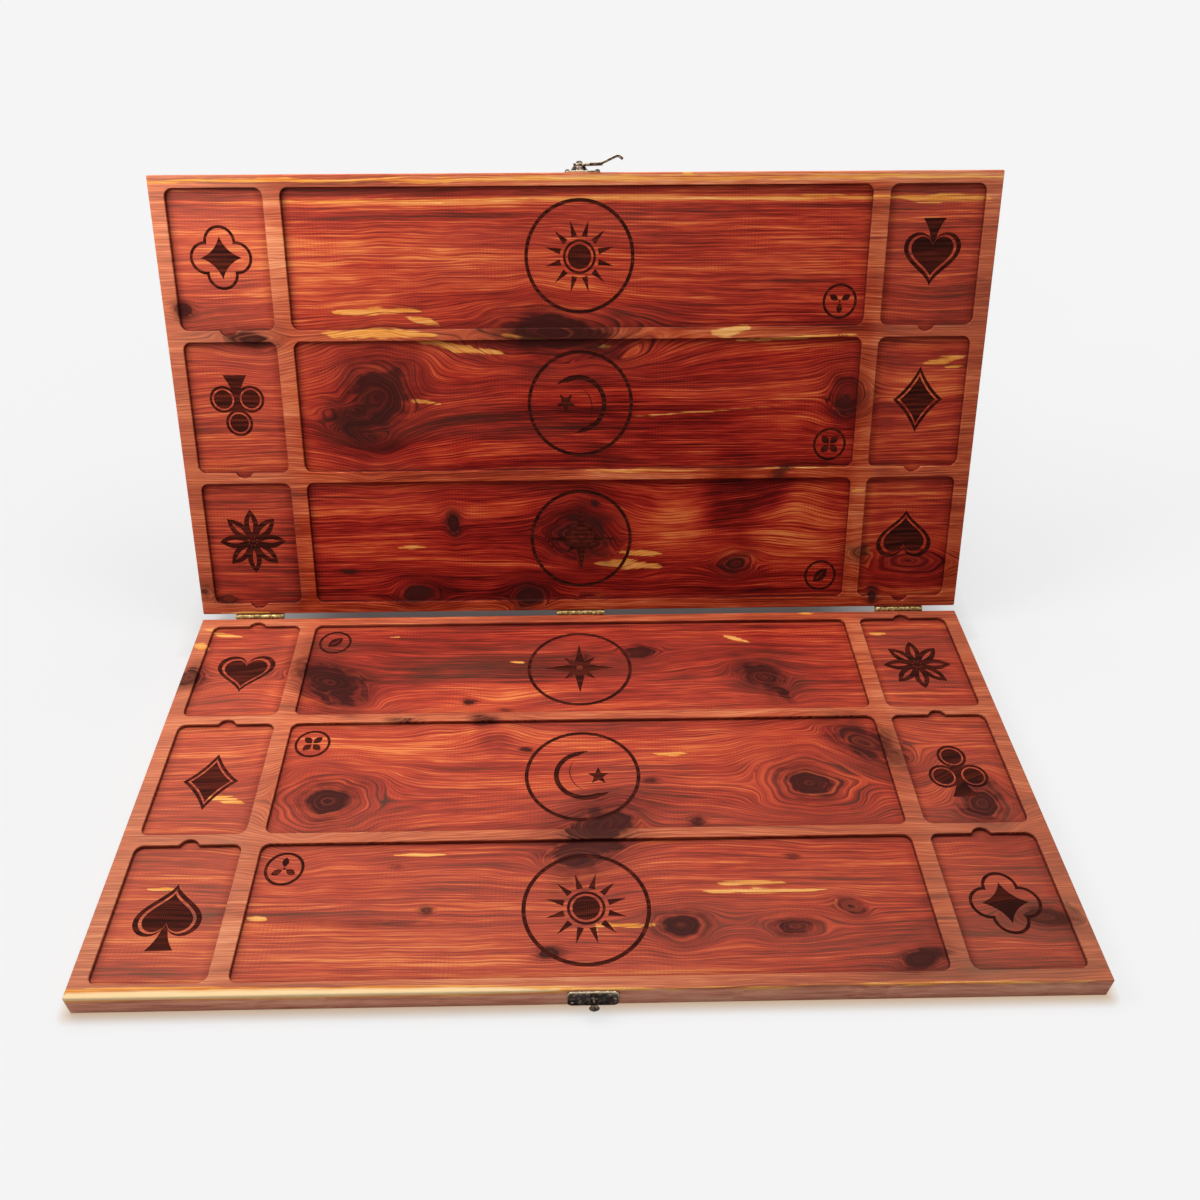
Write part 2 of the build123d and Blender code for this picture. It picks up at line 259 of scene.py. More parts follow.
def stem_outline(top, bottom, narrow, wide, steps=10):
    """The flared foot of a card suit: its sides curve out from a narrow top to a wide bottom."""
    t = np.linspace(0, 1, steps)
    half = narrow / 2 + (wide - narrow) / 2 * t**2.2
    y = top + (bottom - top) * t
    return np.vstack([np.c_[half, y], np.c_[-half, y][::-1]])


def diamond_outline(width, height, hollow, steps=12):
    """Four sides between the corners, each bowed inwards by this share."""
    corners = np.array([(width / 2, 0), (0, height / 2), (-width / 2, 0), (0, -height / 2)])
    t = np.linspace(0, 1, steps, endpoint=False)[:, None]
    ends = zip(corners, np.roll(corners, -1, 0))
    return np.vstack([a * (1 - t) + b * t - (a + b) / 2 * hollow * 4 * t * (1 - t) for a, b in ends])


def crescent_outline(outer, inner, shift, steps=48):
    """The part of a circle outside another one that is shifted to the right."""
    x = (outer**2 - inner**2 + shift**2) / (2 * shift)
    start, back = math.acos(x / outer), math.acos((x - shift) / inner)
    a = np.linspace(start, 2 * math.pi - start, steps)
    b = np.linspace(2 * math.pi - back, back, steps)[1:-1]
    arcs = np.c_[outer * np.cos(a), outer * np.sin(a)], np.c_[shift + inner * np.cos(b), inner * np.sin(b)]
    return np.vstack(arcs)


def moved(outline, dx=0.0, dy=0.0, scale=1.0, turned=0.0):
    """An outline scaled and turned about its origin, then shifted."""
    c, s = math.cos(turned) * scale, math.sin(turned) * scale
    return outline @ np.array([[c, s], [-s, c]]) + [dx, dy]


def placed(figure, dx, dy):
    """A figure's shapes and holes, moved to their place."""
    return tuple([moved(o, dx, dy) for o in part] for part in figure)


def around(count, first=0.0):
    """Angles in equal steps all the way round, from a first one given in degrees."""
    return np.radians(first + np.arange(count) * 360 / count)


def circles_around(count, first, out, radius, steps, up=0.0):
    """Equal circles whose centres lie round a point this far up the axis."""
    centres = [(out * math.cos(a), out * math.sin(a) + up) for a in around(count, first)]
    return [circle_outline(cx, cy, radius, steps) for cx, cy in centres]


def petals_around(count, first, length, width, start):
    """Equal petals round the origin."""
    return [petal_outline(length, width, a, start) for a in around(count, first)]


# The figures: plain geometric signs and card suits, solid with a line left round the middle. Each
# is one or more pairs of shapes and the holes in them.
heart = heart_outline(44)
heart_figure = ([heart], [moved(heart, 0, 0.3, 0.84)]), ([moved(heart, 0, 0.3, 0.74)], [])
spade = moved(heart_outline(42), 0, 4, 1, math.pi)
spade_stem = stem_outline(-4, -24, 3, 17)
spade_figure = ([spade, spade_stem], [moved(spade, 0, -0.4, 0.84)]), ([moved(spade, 0, -0.6, 0.74)], [])
club = [*circles_around(3, 90, 12, 10.2, 48, 1), circle_outline(0, 1, 6, 24), stem_outline(2, -23, 3, 18)]
club_figure = (club, circles_around(3, 90, 12, 8.2, 40, 1)), (circles_around(3, 90, 12, 7.0, 40, 1), [])
diamond = diamond_outline(38, 50, 0.12)
diamond_figure = ([diamond], [moved(diamond, scale=0.82)]), ([moved(diamond, scale=0.72)], [])
rosette = petals_around(8, 0, 24, 11, 2.0), petals_around(8, 0, 14, 3.0, 7.0)
rosette_figure = rosette, ([circle_outline(0, 0, 3.0, 24)], [])
quatrefoil = circles_around(4, 0, 11, 11.5, 60), circles_around(4, 0, 11, 9.4, 60)
quatrefoil_figure = quatrefoil, ([diamond_outline(30, 30, 0.25)], [])
compass = [star_outline(4, 27, 6.0), star_outline(4, 17, 5.0, math.pi / 4)]
moon = moved(crescent_outline(22, 19.5, 9.5), 2, 0, 1, math.radians(20))
moon_line = moved(crescent_outline(19.5, 19.7, 8.6), 1.6, 0, 0.93, math.radians(20))
moon_figure = ([moon], [moon_line]), ([moved(star_outline(5, 8, 3.3), 11, -1)], [])
sun_rays = [
    np.array([(r * math.cos(a + b), r * math.sin(a + b)) for b, r in ((-0.15, 14.5), (0, 26), (0.15, 14.5))])
    for a in around(12, 15)
]
sun_disc = [circle_outline(0, 0, 8.6)]
sun_figure = ([circle_outline(0, 0, 12)], [circle_outline(0, 0, 10.2)]), (sun_disc, []), (sun_rays, [])
leaf = [petal_outline(15, 8.5, 0.8, -7.5)], [petal_outline(10, 0.8, 0.8, -5.0)]
drop_figure = (petals_around(3, 90, 7.5, 4.4, 1.4), []), ([circle_outline(0, 0, 0.9, 12)], [])
ring_figures = [((compass, [circle_outline(0, 0, 2.6, 24)]),), moon_figure, sun_figure]
small_figures = [(leaf,), ((petals_around(4, 45, 8, 5.2, 0.8), []),), drop_figure]
left_figures = [heart_figure, diamond_figure, spade_figure]
right_figures = [rosette_figure, club_figure, quatrefoil_figure]


def build_panel(name, ring_x, small_ring_x, small_ring_drop, cuts):
    """One whole panel as a closed shell, cut at its glue lines into boards. The small rings lie
    this far below their lane's near side. Returns the boards' meshes in the panel's frame."""
    shell = Shell()
    w, d = panel_width / 2, panel_depth
    outer = evenly(rounded_box_outline(-w, w, -d, 0, plan_round, 4), 3.0)
    angles = np.radians([90, 67, 45, 22, 0])
    side = [(outer_round * (1 - math.cos(a)), -outer_round * (1 - math.sin(a))) for a in angles]
    profile = side + [(0, -4.0), (0, -8.0), (0, -12.0)] + [(o, -panel_thick - z) for o, z in side[::-1]]
    quarter = [(1 - math.sin(a), 1 - math.cos(a)) for a in np.radians([0, 30, 60, 90])]
    rim = [(-rim_round * s, -rim_round * c) for s, c in quarter]
    foot = [(floor_round * c, -pocket_depth + floor_round * s) for s, c in quarter]
    points, quads = carried_strip(outer, profile)
    n = len(outer)
    shell.take(points, quads[:, ::-1], smooth=True)
    top_loop, bottom_loop = points[:n, :2], points[-n:, :2]
    pocket_loops = []
    for row, (near, far) in enumerate(pocket_spans):
        for col in (-1, 0, 1):
            if col:
                outline = notched_outline(col * card_column_x, near, far)
            else:
                outline = rounded_box_outline(-lane_half_width, lane_half_width, -far, -near, pocket_corner)
            outline = evenly(outline, 3.0)
            points, quads = carried_strip(outline, rim + foot)
            n = len(outline)
            shell.take(points, quads[:, ::-1], smooth=True)
            pocket_loops.append(points[:n, :2])
            middle = -(near + far) / 2
            if col == 0:
                ring = ring_figure(ring_outer, ring_line)
                small_ring = ring_figure(small_ring_outer, small_ring_line)
                figures = [placed(f, ring_x, middle - 1.0) for f in (ring, *ring_figures[row])]
                small_y = -(near + small_ring_drop)
                figures += [placed(f, small_ring_x, small_y) for f in (small_ring, *small_figures[row])]
            else:
                signs = (left_figures if col < 0 else right_figures)[row]
                figures = [placed(f, col * card_column_x, middle - 2) for f in signs]
            fill_face(shell, -pocket_depth, [points[-n:, :2]], figures)
    fill_face(shell, 0.0, [top_loop, *pocket_loops])
    fill_face(shell, -panel_thick, [bottom_loop], facing=-1, grid=(6.0, 2.5))
    mesh = bpy.data.meshes.new(name)
    mesh.from_pydata(np.vstack(shell.points).tolist(), [], shell.faces)
    mesh.polygons.foreach_set("material_index", shell.finish)
    mesh.polygons.foreach_set("use_smooth", shell.smooth)
    whole = bmesh.new()
    whole.from_mesh(mesh)
    bmesh.ops.remove_doubles(whole, verts=whole.verts, dist=2e-3)
    whole.to_mesh(mesh)
    whole.free()
    boards = []
    for near, far in zip([None, *cuts], [*cuts, None]):
        board = bmesh.new()
        board.from_mesh(mesh)
        for place, keep in ((near, -1), (far, 1)):
            if place is None:
                continue
            result = bmesh.ops.bisect_plane(
                board, geom=board.verts[:] + board.edges[:] + board.faces[:], dist=1e-4,
                plane_co=(0, -place, 0), plane_no=(0, keep, 0), clear_inner=True,
            )
            cut_edges = [e for e in result["geom_cut"] if isinstance(e, bmesh.types.BMEdge)]
            bmesh.ops.triangle_fill(board, edges=cut_edges, use_beauty=True)
        bmesh.ops.recalc_face_normals(board, faces=board.faces)
        part = bpy.data.meshes.new(name)
        board.to_mesh(part)
        board.free()
        boards.append(part)
    return boards


lower_boards = build_panel(
    "lower_panel", ring_x=-2.0, small_ring_x=-194.6, small_ring_drop=17.9, cuts=lower_cuts
)
upper_boards = build_panel(
    "upper_panel", ring_x=-0.9, small_ring_x=-193.8, small_ring_drop=17.6, cuts=upper_cuts
)

# The grain. Each board's growth lines run along the panel, part round every knot and close in
# rings about some. These numbers are worked out at the points of the mesh, from lists of where
# the wood's knots, pale sapwood flecks and dark or light patches lie, in millimetres: u to the
# right and v from the hinge edge. Among the flecks lies a painted highlight along the lower panel's front
# arris. The finish reads them as attributes of the piece.


def soft_noise(u, v, size_u, size_v, seed):
    """Random values on a lattice of this cell size, joined smoothly, from -1 to 1."""
    table = np.random.default_rng(seed).uniform(-1, 1, (256, 256))
    x, y = u / size_u + 1000.5, v / size_v + 1000.5
    i, j = np.floor(x).astype(int), np.floor(y).astype(int)
    fx, fy = x - i, y - j
    fx, fy = fx * fx * (3 - 2 * fx), fy * fy * (3 - 2 * fy)
    a, b = table[j % 256, i % 256], table[j % 256, (i + 1) % 256]
    c, d = table[(j + 1) % 256, i % 256], table[(j + 1) % 256, (i + 1) % 256]
    return (a * (1 - fx) + b * fx) * (1 - fy) + (c * (1 - fx) + d * fx) * fy


def ramp(low, high, value):
    """0 below low, 1 above high, and a smooth step between."""
    t = np.clip((value - low) / (high - low), 0, 1)
    return t * t * (3 - 2 * t)


def from_centre(u, v, at_u, at_v, half_long, half_wide, tilt, seed=0, rough=0.0):
    """How far a point is from the middle of a tilted ellipse, as a share of the ellipse's own
    radius there, with an outline made uneven by a few waves round it."""
    c, s = math.cos(math.radians(tilt)), math.sin(math.radians(tilt))
    du, dv = u - at_u, v - at_v
    a, b = (du * c + dv * s) / half_long, (dv * c - du * s) / half_wide
    round_it = np.arctan2(b, a)
    phase = np.random.default_rng(seed).uniform(0, 6.28, 4)
    uneven = sum(np.sin(n * round_it + f) / n**0.5 for n, f in zip((2, 3, 5, 8), phase))
    return np.hypot(a, b) / (1 + rough * 0.3 * uneven)


# u, v, half length, half width, tilt, darkness, how far its rings reach (0: none)
lower_knots = [
    (-299, 67, 9, 12, 30, 0.85, 0), (-191, 72, 27, 15, 52, 1, 1.3), (-178, 88, 9, 5, 50, 1, 0),
    (-85, 94, 4, 2.5, 0, 0.9, 0), (-57, 104, 4, 2, 20, 0.6, 0), (0, 48, 5, 4, 0, 0.7, 0),
    (46, 42, 10, 6, 0, 1, 1.8), (138, 71, 17, 11, 50, 1, 1.3), (150, 88, 7, 3.5, 60, 1, 0),
    (-176, 186, 15, 12, -15, 1, 2.6), (-73, 114, 8, 3, 0, 0.95, 0), (-132, 114, 9, 2, 0, 0.7, 0),
    (-42, 142, 4, 2, 10, 0.9, 0), (6, 218, 29, 17, -55, 1, 0), (-6, 234, 17, 10, 0, 1, 0),
    (45, 172, 5, 2.2, 0, 0.85, 0), (74, 208, 4, 4, 60, 0.95, 0), (154, 176, 16, 11, 8, 1, 2.6),
    (202, 141, 24, 14, 45, 0.85, 1.3), (269, 196, 10, 13, 20, 0.95, 1.9), (-123, 240, 3, 1.6, 0, 0.5, 0),
    (-101, 273, 4, 2.5, 0, 0.9, 0), (-25, 304, 6, 4, 0, 0.85, 0), (56, 286, 13, 7, 0, 0.92, 1.9),
    (125, 288, 10, 5.5, 0, 0.92, 2.1), (162, 275, 7, 5, 20, 0.8, 1.6), (197, 312, 12, 6, -20, 0.95, 0),
    (132, 237, 4, 1.6, 0, 0.85, 0), (282, 285, 16, 6, 8, 0.62, 2), (-135, 282, 40, 2.5, 1, 0.3, 0),
]
upper_knots = [
    (-290, 238, 6, 5, 0, 0.95, 0), (-244, 216, 13, 5, 0, 0.85, 2), (-16, 219, 34, 14, -8, 1, 1.9),
    (-151, 174, 22, 22, 20, 0.95, 1.5), (-172, 152, 20, 10, -45, 0.75, 0), (203, 163, 9, 8, 30, 0.9, 0),
    (206, 172, 14, 16, 0, 0.45, 0), (-100, 73, 5, 9, 0, 0.95, 0), (-185, 34, 5, 1.8, 0, 0.9, 0),
    (-131, 15, 12, 7, 0, 0.95, 1.8), (-40, 12, 11, 8, 0, 0.95, 1.8), (2, 63, 22, 18, -20, 0.93, 1.4),
    (12, 88, 3, 3, 0, 1, 0), (125, 37, 11, 7, 10, 0.95, 1.7), (156, 112, 7, 2.5, 30, 1, 0),
    (224, 46, 9, 6, 0, 0.7, 0), (264, 38, 19, 8, 0, 0.45, 2), (237, 10, 4, 6, 0, 1, 0),
    (-285, 12, 8, 3.5, 0, 0.7, 0), (-302, 20, 8, 6, 0, 0.7, 0), (8, 12, 10, 3, 0, 0.5, 0),
]
# from u, to u, v, half thickness, strength, slope
lower_flecks_and_highlight = [
    (-292, -270, 17.5, 1.6, 1, 0.12), (-300, -284, 13, 1, 0.9, 0), (-304, -292, 33, 3, 1, 0.15),
    (113, 133, 28, 1.8, 1, 0.35), (176, 190, 1.5, 1.2, 0.9, 0), (229, 243, 24, 1, 0.9, 0),
    (-259, -232, 183.5, 3.4, 1, 0.22), (49, 73, 147.5, 1.3, 1, 0), (-278, -257, 254.5, 1.1, 1, 0),
    (-126, -93, 231.7, 1.2, 1, 0.01), (-211, -199, 277, 1.4, 1, 0.08), (80, 126, 256.7, 1.5, 1, 0.01),
    (72, 149, 262.5, 1.5, 1, 0), (2, 42, 286, 1.6, 1, 0), (-152, -143, 21, 1, 0.9, -0.1),
    # the last three, along the front arris at v 329 to 330, are a painted highlight, the strongest of them
    # cream
    (-56, -44, 51.5, 0.8, 0.8, 0.1), (-500, -10, 329.3, 4.4, 1.9, 0), (-420, 60, 330, 1.6, 0.5, 0),
    (20, 306, 330, 1.2, 0.5, 0),
]
upper_flecks = [
    (-460, 460, 326, 1.7, 0.62, 0), (-230, 90, 312.5, 1.3, 0.5, 0), (60, 300, 312.5, 1.3, 0.55, 0.004),
    (222, 300, 311.5, 2.3, 0.8, 0), (-290, -225, 311, 1, 0.45, 0), (-182, -117, 235.5, 2.3, 1, -0.01),
    (-190, -105, 220, 4, 0.9, -0.05), (-128, -102, 228, 2.4, 0.9, -0.25), (-122, -56, 209, 2.8, 1, -0.14),
    (-60, -20, 216, 1.4, 0.5, -0.1), (98, 128, 221, 3, 1, 0.1), (120, 212, 214.5, 1, 0.9, 0.04),
    (260, 292, 197, 2.2, 0.95, 0.18), (276, 292, 192, 1.2, 0.9, 0.1), (12, 24, 209, 1.3, 0.9, 0),
    (-128, -105, 168, 1.6, 0.9, -0.1), (-146, -122, 53.5, 1, 1, 0), (12, 66, 38, 3.4, 1, -0.06),
    (30, 66, 47, 1.8, 0.8, -0.05), (211, 224, 97, 1, 0.9, 0), (40, 160, 160, 0.8, 0.5, 0.06),
    (74, 82, 329, 1.2, 1, 0), (-290, -250, 1.2, 0.9, 0.7, 0), (0, 96, 115, 2.4, 0.38, 0),
    (100, 210, 115.5, 0.7, 0.3, 0),
]
# u, v, half length, half width, tilt, tone: below 0 dark maroon, above 0 light orange
lower_tones = [
    (-237, 276, 15, 10, 0, -0.95), (-120, 276, 110, 5, 0, -0.45), (140, 232, 260, 26, 0, -0.12),
    (0, 45, 190, 30, 0, -0.22), (60, 100, 150, 14, 0, 0.12), (-160, 45, 60, 22, 20, -0.25),
    (-150, 240, 150, 26, 0, 0.28), (-60, 150, 90, 30, 0, 0.2), (-150, 145, 60, 12, 10, 0.7),
    (230, 300, 110, 34, 0, -0.25), (-70, 92, 60, 9, -12, 0.6), (-60, 60, 110, 16, 0, -0.35),
    (90, 150, 60, 10, 0, 0.4), (20, 190, 60, 20, -20, -0.35), (70, 205, 50, 8, 10, -0.3),
    (180, 300, 80, 20, 0, -0.3), (-130, 300, 170, 16, 0, 0.22), (-205, 60, 34, 34, 0, -0.35),
    (150, 70, 40, 26, 0, -0.35), (-260, 30, 60, 18, 0, 0.1), (110, 180, 40, 22, 0, 0.12),
    (205, 150, 30, 20, 30, -0.3), (270, 200, 30, 24, 0, -0.15), (-40, 45, 70, 16, 0, -0.25),
    (240, 80, 60, 16, -30, 0.1), (285, 284, 24, 11, 0, -0.3), (-66, 128, 22, 12, 60, -0.5),
    (-250, 150, 60, 12, 0, 0.3), (-180, 276, 70, 3, 0, -0.6), (-190, 60, 40, 40, 0, 0.25),
    (10, 292, 60, 26, 0, -0.2), (190, 326, 150, 10, 0, -0.2), (220, 56, 12, 60, 0, 0.4),
    (-60, 320, 250, 6, 0, 0.45), (200, 113, 120, 8, 0, 0.25), (-228, 60, 12, 60, 0, 0.4),
    (-60, 55, 200, 50, 0, -0.2), (-130, 300, 180, 40, 0, 0.25),
]
upper_tones = [
    (120, 84, 26, 34, 10, -0.95), (150, 98, 22, 14, 40, -0.6), (0, 150, 260, 24, 0, -0.4),
    (120, 140, 130, 26, 0, -0.3), (60, 20, 240, 20, 0, -0.55), (-60, 60, 90, 20, 0, -0.15),
    (60, 74, 42, 24, -15, 0.35), (-170, 268, 130, 30, 0, 0.2), (160, 305, 150, 4, 0, -0.7),
    (-160, 302, 140, 4, 0, -0.6), (-160, 318, 200, 4, 0, -0.5), (150, 240, 130, 22, 0, -0.25),
    (-18, 214, 54, 20, 0, -0.55), (-170, 140, 44, 24, -30, -0.55), (-165, 185, 50, 26, 0, -0.2),
    (205, 165, 24, 24, 0, -0.5), (100, 190, 120, 16, 0, -0.25), (-250, 170, 60, 30, 0, 0.2),
    (178, 80, 30, 20, 30, 0.5), (78, 82, 24, 20, -20, 0.4), (150, 46, 60, 8, 0, 0.4),
    (-60, 262, 120, 20, 0, 0.35), (0, 66, 36, 28, 0, -0.3), (-230, 20, 60, 10, 0, -0.3),
    (-130, 20, 40, 14, 0, -0.3), (-40, 16, 40, 12, 0, -0.4), (256, 180, 50, 40, 0, -0.1),
    (268, 285, 44, 30, 0, 0.08), (40, 112, 60, 5, 0, 0.8), (-100, 90, 100, 10, 0, 0.12),
    (210, 224, 90, 4, 0, -0.4), (60, 228, 60, 10, 0, -0.5), (-258, 300, 44, 12, 0, 0.2),
    (-40, 115, 90, 90, 0, -0.3), (-200, 8, 100, 12, 0, -0.35), (0, 8, 120, 10, 0, 0.5),
    (230, 8, 90, 12, 0, 0.1), (200, 113, 100, 8, 0, -0.25), (200, 222, 100, 8, 0, -0.25),
    (224, 100, 12, 130, 0, 0.45), (-200, 262, 60, 34, 0, 0.4), (100, 326, 260, 5, 0, 1),
    (-120, 312, 200, 3.2, 0, 1.1), (160, 312.5, 190, 3, 0, 1), (-228, 60, 12, 60, 0, -0.35),
    (262, 170, 30, 46, 0, 0.45), (262, 60, 30, 46, 0, 0.5), (160, 60, 90, 40, 0, 0.4),
    (170, 165, 60, 40, 0, 0.45), (-100, 60, 110, 40, 0, 0.2), (-205, 170, 24, 40, 0, 0.3),
]
# u, v, reach along, reach across, by how far the growth lines are pushed
lower_bends = [
    (-110, 118, 26, 13, 15), (-62, 122, 24, 20, 22), (-62, 96, 30, 14, -15), (-190, 42, 40, 16, 9),
    (120, 58, 60, 12, 12), (100, 34, 80, 8, 7), (-150, 100, 50, 10, -7), (30, 200, 40, 20, -10),
    (250, 60, 40, 24, 8), (-255, 80, 30, 16, 9), (232, 180, 22, 30, -14), (70, 225, 60, 12, 8),
    (-100, 195, 60, 12, -7), (230, 130, 24, 18, 9), (-90, 60, 60, 10, 6), (10, 250, 50, 12, 8),
]
upper_bends = [
    (-110, 185, 40, 22, 16), (50, 205, 50, 14, 12), (-80, 222, 40, 9, -8), (60, 80, 50, 20, 18),
    (170, 90, 26, 22, -16), (190, 60, 40, 14, 8), (-60, 40, 60, 10, 6), (-200, 130, 50, 16, -9),
    (-240, 190, 30, 20, 10), (40, 40, 50, 10, -8), (0, 280, 160, 20, 5), (250, 160, 40, 24, 10),
    (-150, 95, 80, 16, -6), (130, 190, 80, 12, 5), (262, 245, 30, 16, 6), (-262, 180, 26, 20, -8),
]


def growth_lines(u, v, knots, bends, sway):
    """How far across the growth lines a point is: its own height on the board, moved aside by
    slow noise, by the bends and by the knots. Round a knot the lines run as water runs round a
    post: a line at height h over the middle is moved by h over the cube of the distance from
    it, as a share of the knot's outermost ring. Inside that ring they close about the middle."""
    across = v + 1.2 * soft_noise(u, v, 150, 50, sway) + 0.3 * soft_noise(u, v, 60, 24, sway + 1)
    for bu, bv, reach_u, reach_v, push in bends:
        across = across + 0.55 * push * np.exp(-(((u - bu) / reach_u) ** 2) - ((v - bv) / reach_v) ** 2)
    inside = np.zeros_like(u)
    for n, (ku, kv, long, wide, tilt, _, rings) in enumerate(knots):
        grown = max(0.85 * rings, 1.0)
        r = from_centre(u, v, ku, kv, long * grown * 1.15, wide * grown, 0.6 * tilt, n, 0.22)
        r = r * (1 + 0.09 * soft_noise(u, v, 22, 9, sway + 9))
        within = 1 - ramp(0.94, 1.0, r)
        across = across - (v - kv) / np.maximum(r, 1.0) ** 3
        inside = inside + within * wide * grown * (r - 1) * 0.5
    return across + inside


def wood_numbers(points, knots, flecks_and_highlights, tones, bends, sheen_plan, cuts, seed):
    """The grain's numbers at points (u, v, z) of a panel: the place along, across and through
    the grain, how curly it runs, and how dark a knot, how pale a fleck (the painted highlight on
    the front arris is drawn as one), how light or dark the wood and how strong the painted sheen is there.
    Curl is the slope of the growth lines."""
    u, v, z = points.T
    board = np.searchsorted(cuts, v.mean())
    sway = seed + 17 * board
    across = growth_lines(u, v, knots, bends, sway)
    slope = np.abs(growth_lines(u + 1.0, v, knots, bends, sway) - across)
    wobble = 0.16 * soft_noise(u, v, 9, 5, sway + 2) + 0.12 * soft_noise(u, v, 4, 2.5, sway + 3)
    smoke = 0.5 * soft_noise(u, v, 14, 4, sway + 7) + 0.5 * soft_noise(u, v, 6, 2, sway + 8)
    ink, curl = np.zeros_like(u), ramp(0.03, 0.30, slope)
    for n, (ku, kv, long, wide, tilt, dark, rings) in enumerate(knots):
        r = from_centre(u, v, ku, kv, long, wide, tilt, n, 0.35)
        curl = np.maximum(curl, 1 - ramp(0.5, 1.6, (r - 1) / max(rings, 0.4)))
        soft = 0.10 + 0.9 / (1 + 0.25 * min(long, wide))
        ink = np.maximum(ink, dark * (1 - ramp(0.74, 0.98 + soft, r + wobble)))
        halo = 0.56 * dark * (1 + 0.8 * smoke) * np.exp(-np.maximum(r - 0.85, 0) ** 2 * 1.5)
        ink = np.maximum(ink, halo)
    fleck_and_highlight = np.zeros_like(u)
    ragged = 0.5 * soft_noise(u, v, 6, 0.9, sway + 4) + 0.5 * soft_noise(u, v, 22, 1.6, sway + 5)
    for start, end, fv, thick, strength, slant in flecks_and_highlights:
        middle, half = (start + end) / 2, (end - start) / 2
        along = np.abs(u - middle) / half
        # a fleck stronger than 1, the painted highlight along the front arris, sways and tears little
        sways, tears = (0.4, 0.75) if strength <= 1 else (0.1, 0.15)
        line = fv + slant * (u - middle) + sways * thick * soft_noise(u, v, 24, 90, sway + 10)
        taper = np.clip(1.05 - along, 0.0, 1) ** 0.55
        body = 1 - np.abs(v - line) / (1.25 * thick * taper + 0.2)
        fade = 1 - ramp(0.88, 1.1, along + 0.12 * ragged)
        fleck_and_highlight = np.maximum(fleck_and_highlight, strength * ramp(-0.35, 0.85, body + ragged * tears) * fade)
    # at the front arris the flecks, the painted highlight among them, fade down the front face
    fleck_and_highlight = fleck_and_highlight * (1 - ramp(0.6, 5.0, -z) * (v > 329.0))
    tone = np.zeros_like(u)
    for n, (tu, tv, long, wide, tilt, amount) in enumerate(tones):
        r = from_centre(u, v, tu, tv, long, wide, tilt, 100 + n, 0.5)
        tone = tone + amount * (1 - ramp(0.35, 1.35, r + 0.25 * soft_noise(u, v, 22, 5, sway + 6)))
    # the painted sheen: a pale haze, growing from its share at the hinge edge towards the free edge, weaker
    # to the right and stronger at the ends
    start, per_depth, per_width, at_ends = sheen_plan
    painted_sheen = start + per_depth * v / panel_depth + per_width * u / panel_width
    painted_sheen = painted_sheen + at_ends * ramp(lane_half_width, lane_half_width + 24, np.abs(u))
    along = u + 911.0 * board
    return {
        "grain": np.c_[along, across + 313.0 * board, z], "knot": ink, "fleck_and_highlight": fleck_and_highlight, "tone": tone,
        "curl": curl, "painted_sheen": np.clip(painted_sheen + 0.12 * soft_noise(u, v, 60, 14, sway + 11), 0, 1.2),
    }


def milling_numbers(points):
    """Whether a point is on a pocket's floor, how near it is to the pocket's wall, and whether it
    is on the panel's outer edge."""
    x, y, z = points.T
    v = -y
    wall = np.full_like(x, -99.0)
    columns = (-card_column_x, card_half_width), (0, lane_half_width), (card_column_x, card_half_width)
    for near, far in pocket_spans:
        for cx, half in columns:
            qx = np.abs(x - cx) - half + pocket_corner
            qy = np.abs(v - (near + far) / 2) - (far - near) / 2 + pocket_corner
            past_corner = np.hypot(np.maximum(qx, 0), np.maximum(qy, 0))
            out = past_corner + np.minimum(np.maximum(qx, qy), 0) - pocket_corner
            if cx:
                out = np.minimum(out, np.hypot(x - cx, v - near - notch_inset) - notch_radius)
            wall = np.maximum(wall, -out)
    milled = ramp(0.2, 1.2, -z) * (z > -4) * (wall > -6)
    past_ends, past_sides = np.abs(x) - panel_width / 2, np.abs(y + panel_depth / 2) - panel_depth / 2
    outer = ramp(-0.85, -0.15, np.maximum(past_ends, past_sides)) * ramp(0.1, 0.8, -z)
    return {"milled": milled, "wall": np.clip(wall, 0, 50), "outer": outer}


def linear(code):
    """An sRGB hex colour as linear values."""
    parts = [int(code[i : i + 2], 16) / 255 for i in (1, 3, 5)]
    return (*[c / 12.92 if c <= 0.04045 else ((c + 0.055) / 1.055) ** 2.4 for c in parts], 1.0)


def add_node(tree, kind, sockets=(), stops=(), out=0, **settings):
    """Adds one shader node, sets its settings and colour stops, and sets or links its sockets,
    given in their order or by name. Unless told otherwise a Math node multiplies its first two
    values and adds the third, if there is one. Returns one of the node's outputs."""
    node = tree.nodes.new("ShaderNode" + kind)
    if kind == "Math":
        node.operation = "MULTIPLY_ADD" if len(sockets) == 3 else "MULTIPLY"
    for name, value in settings.items():
        setattr(node, name, value)
    for place, (at, colour) in enumerate(stops):
        elements = node.color_ramp.elements
        stop = elements[place] if place < 2 else elements.new(at)
        stop.position, stop.color = at, linear(colour)
    for name, value in sockets.items() if isinstance(sockets, dict) else enumerate(sockets):
        if isinstance(value, bpy.types.NodeSocket):
            tree.links.new(value, node.inputs[name])
        else:
            node.inputs[name].default_value = value
    return node.outputs[out]


def noise_of_size(tree, place, size, detail, roughness=0.5, start=(0, 0, 0)):
    """Noise whose patches have this size in x, y and z: in wood, along, across and through the grain."""
    at = add_node(tree, "Mapping", {"Vector": place, "Scale": [1 / s for s in size], "Location": start})
    sockets = {"Vector": at, "Scale": 1.0, "Detail": detail, "Roughness": roughness}
    return add_node(tree, "TexNoise", sockets, out="Fac")


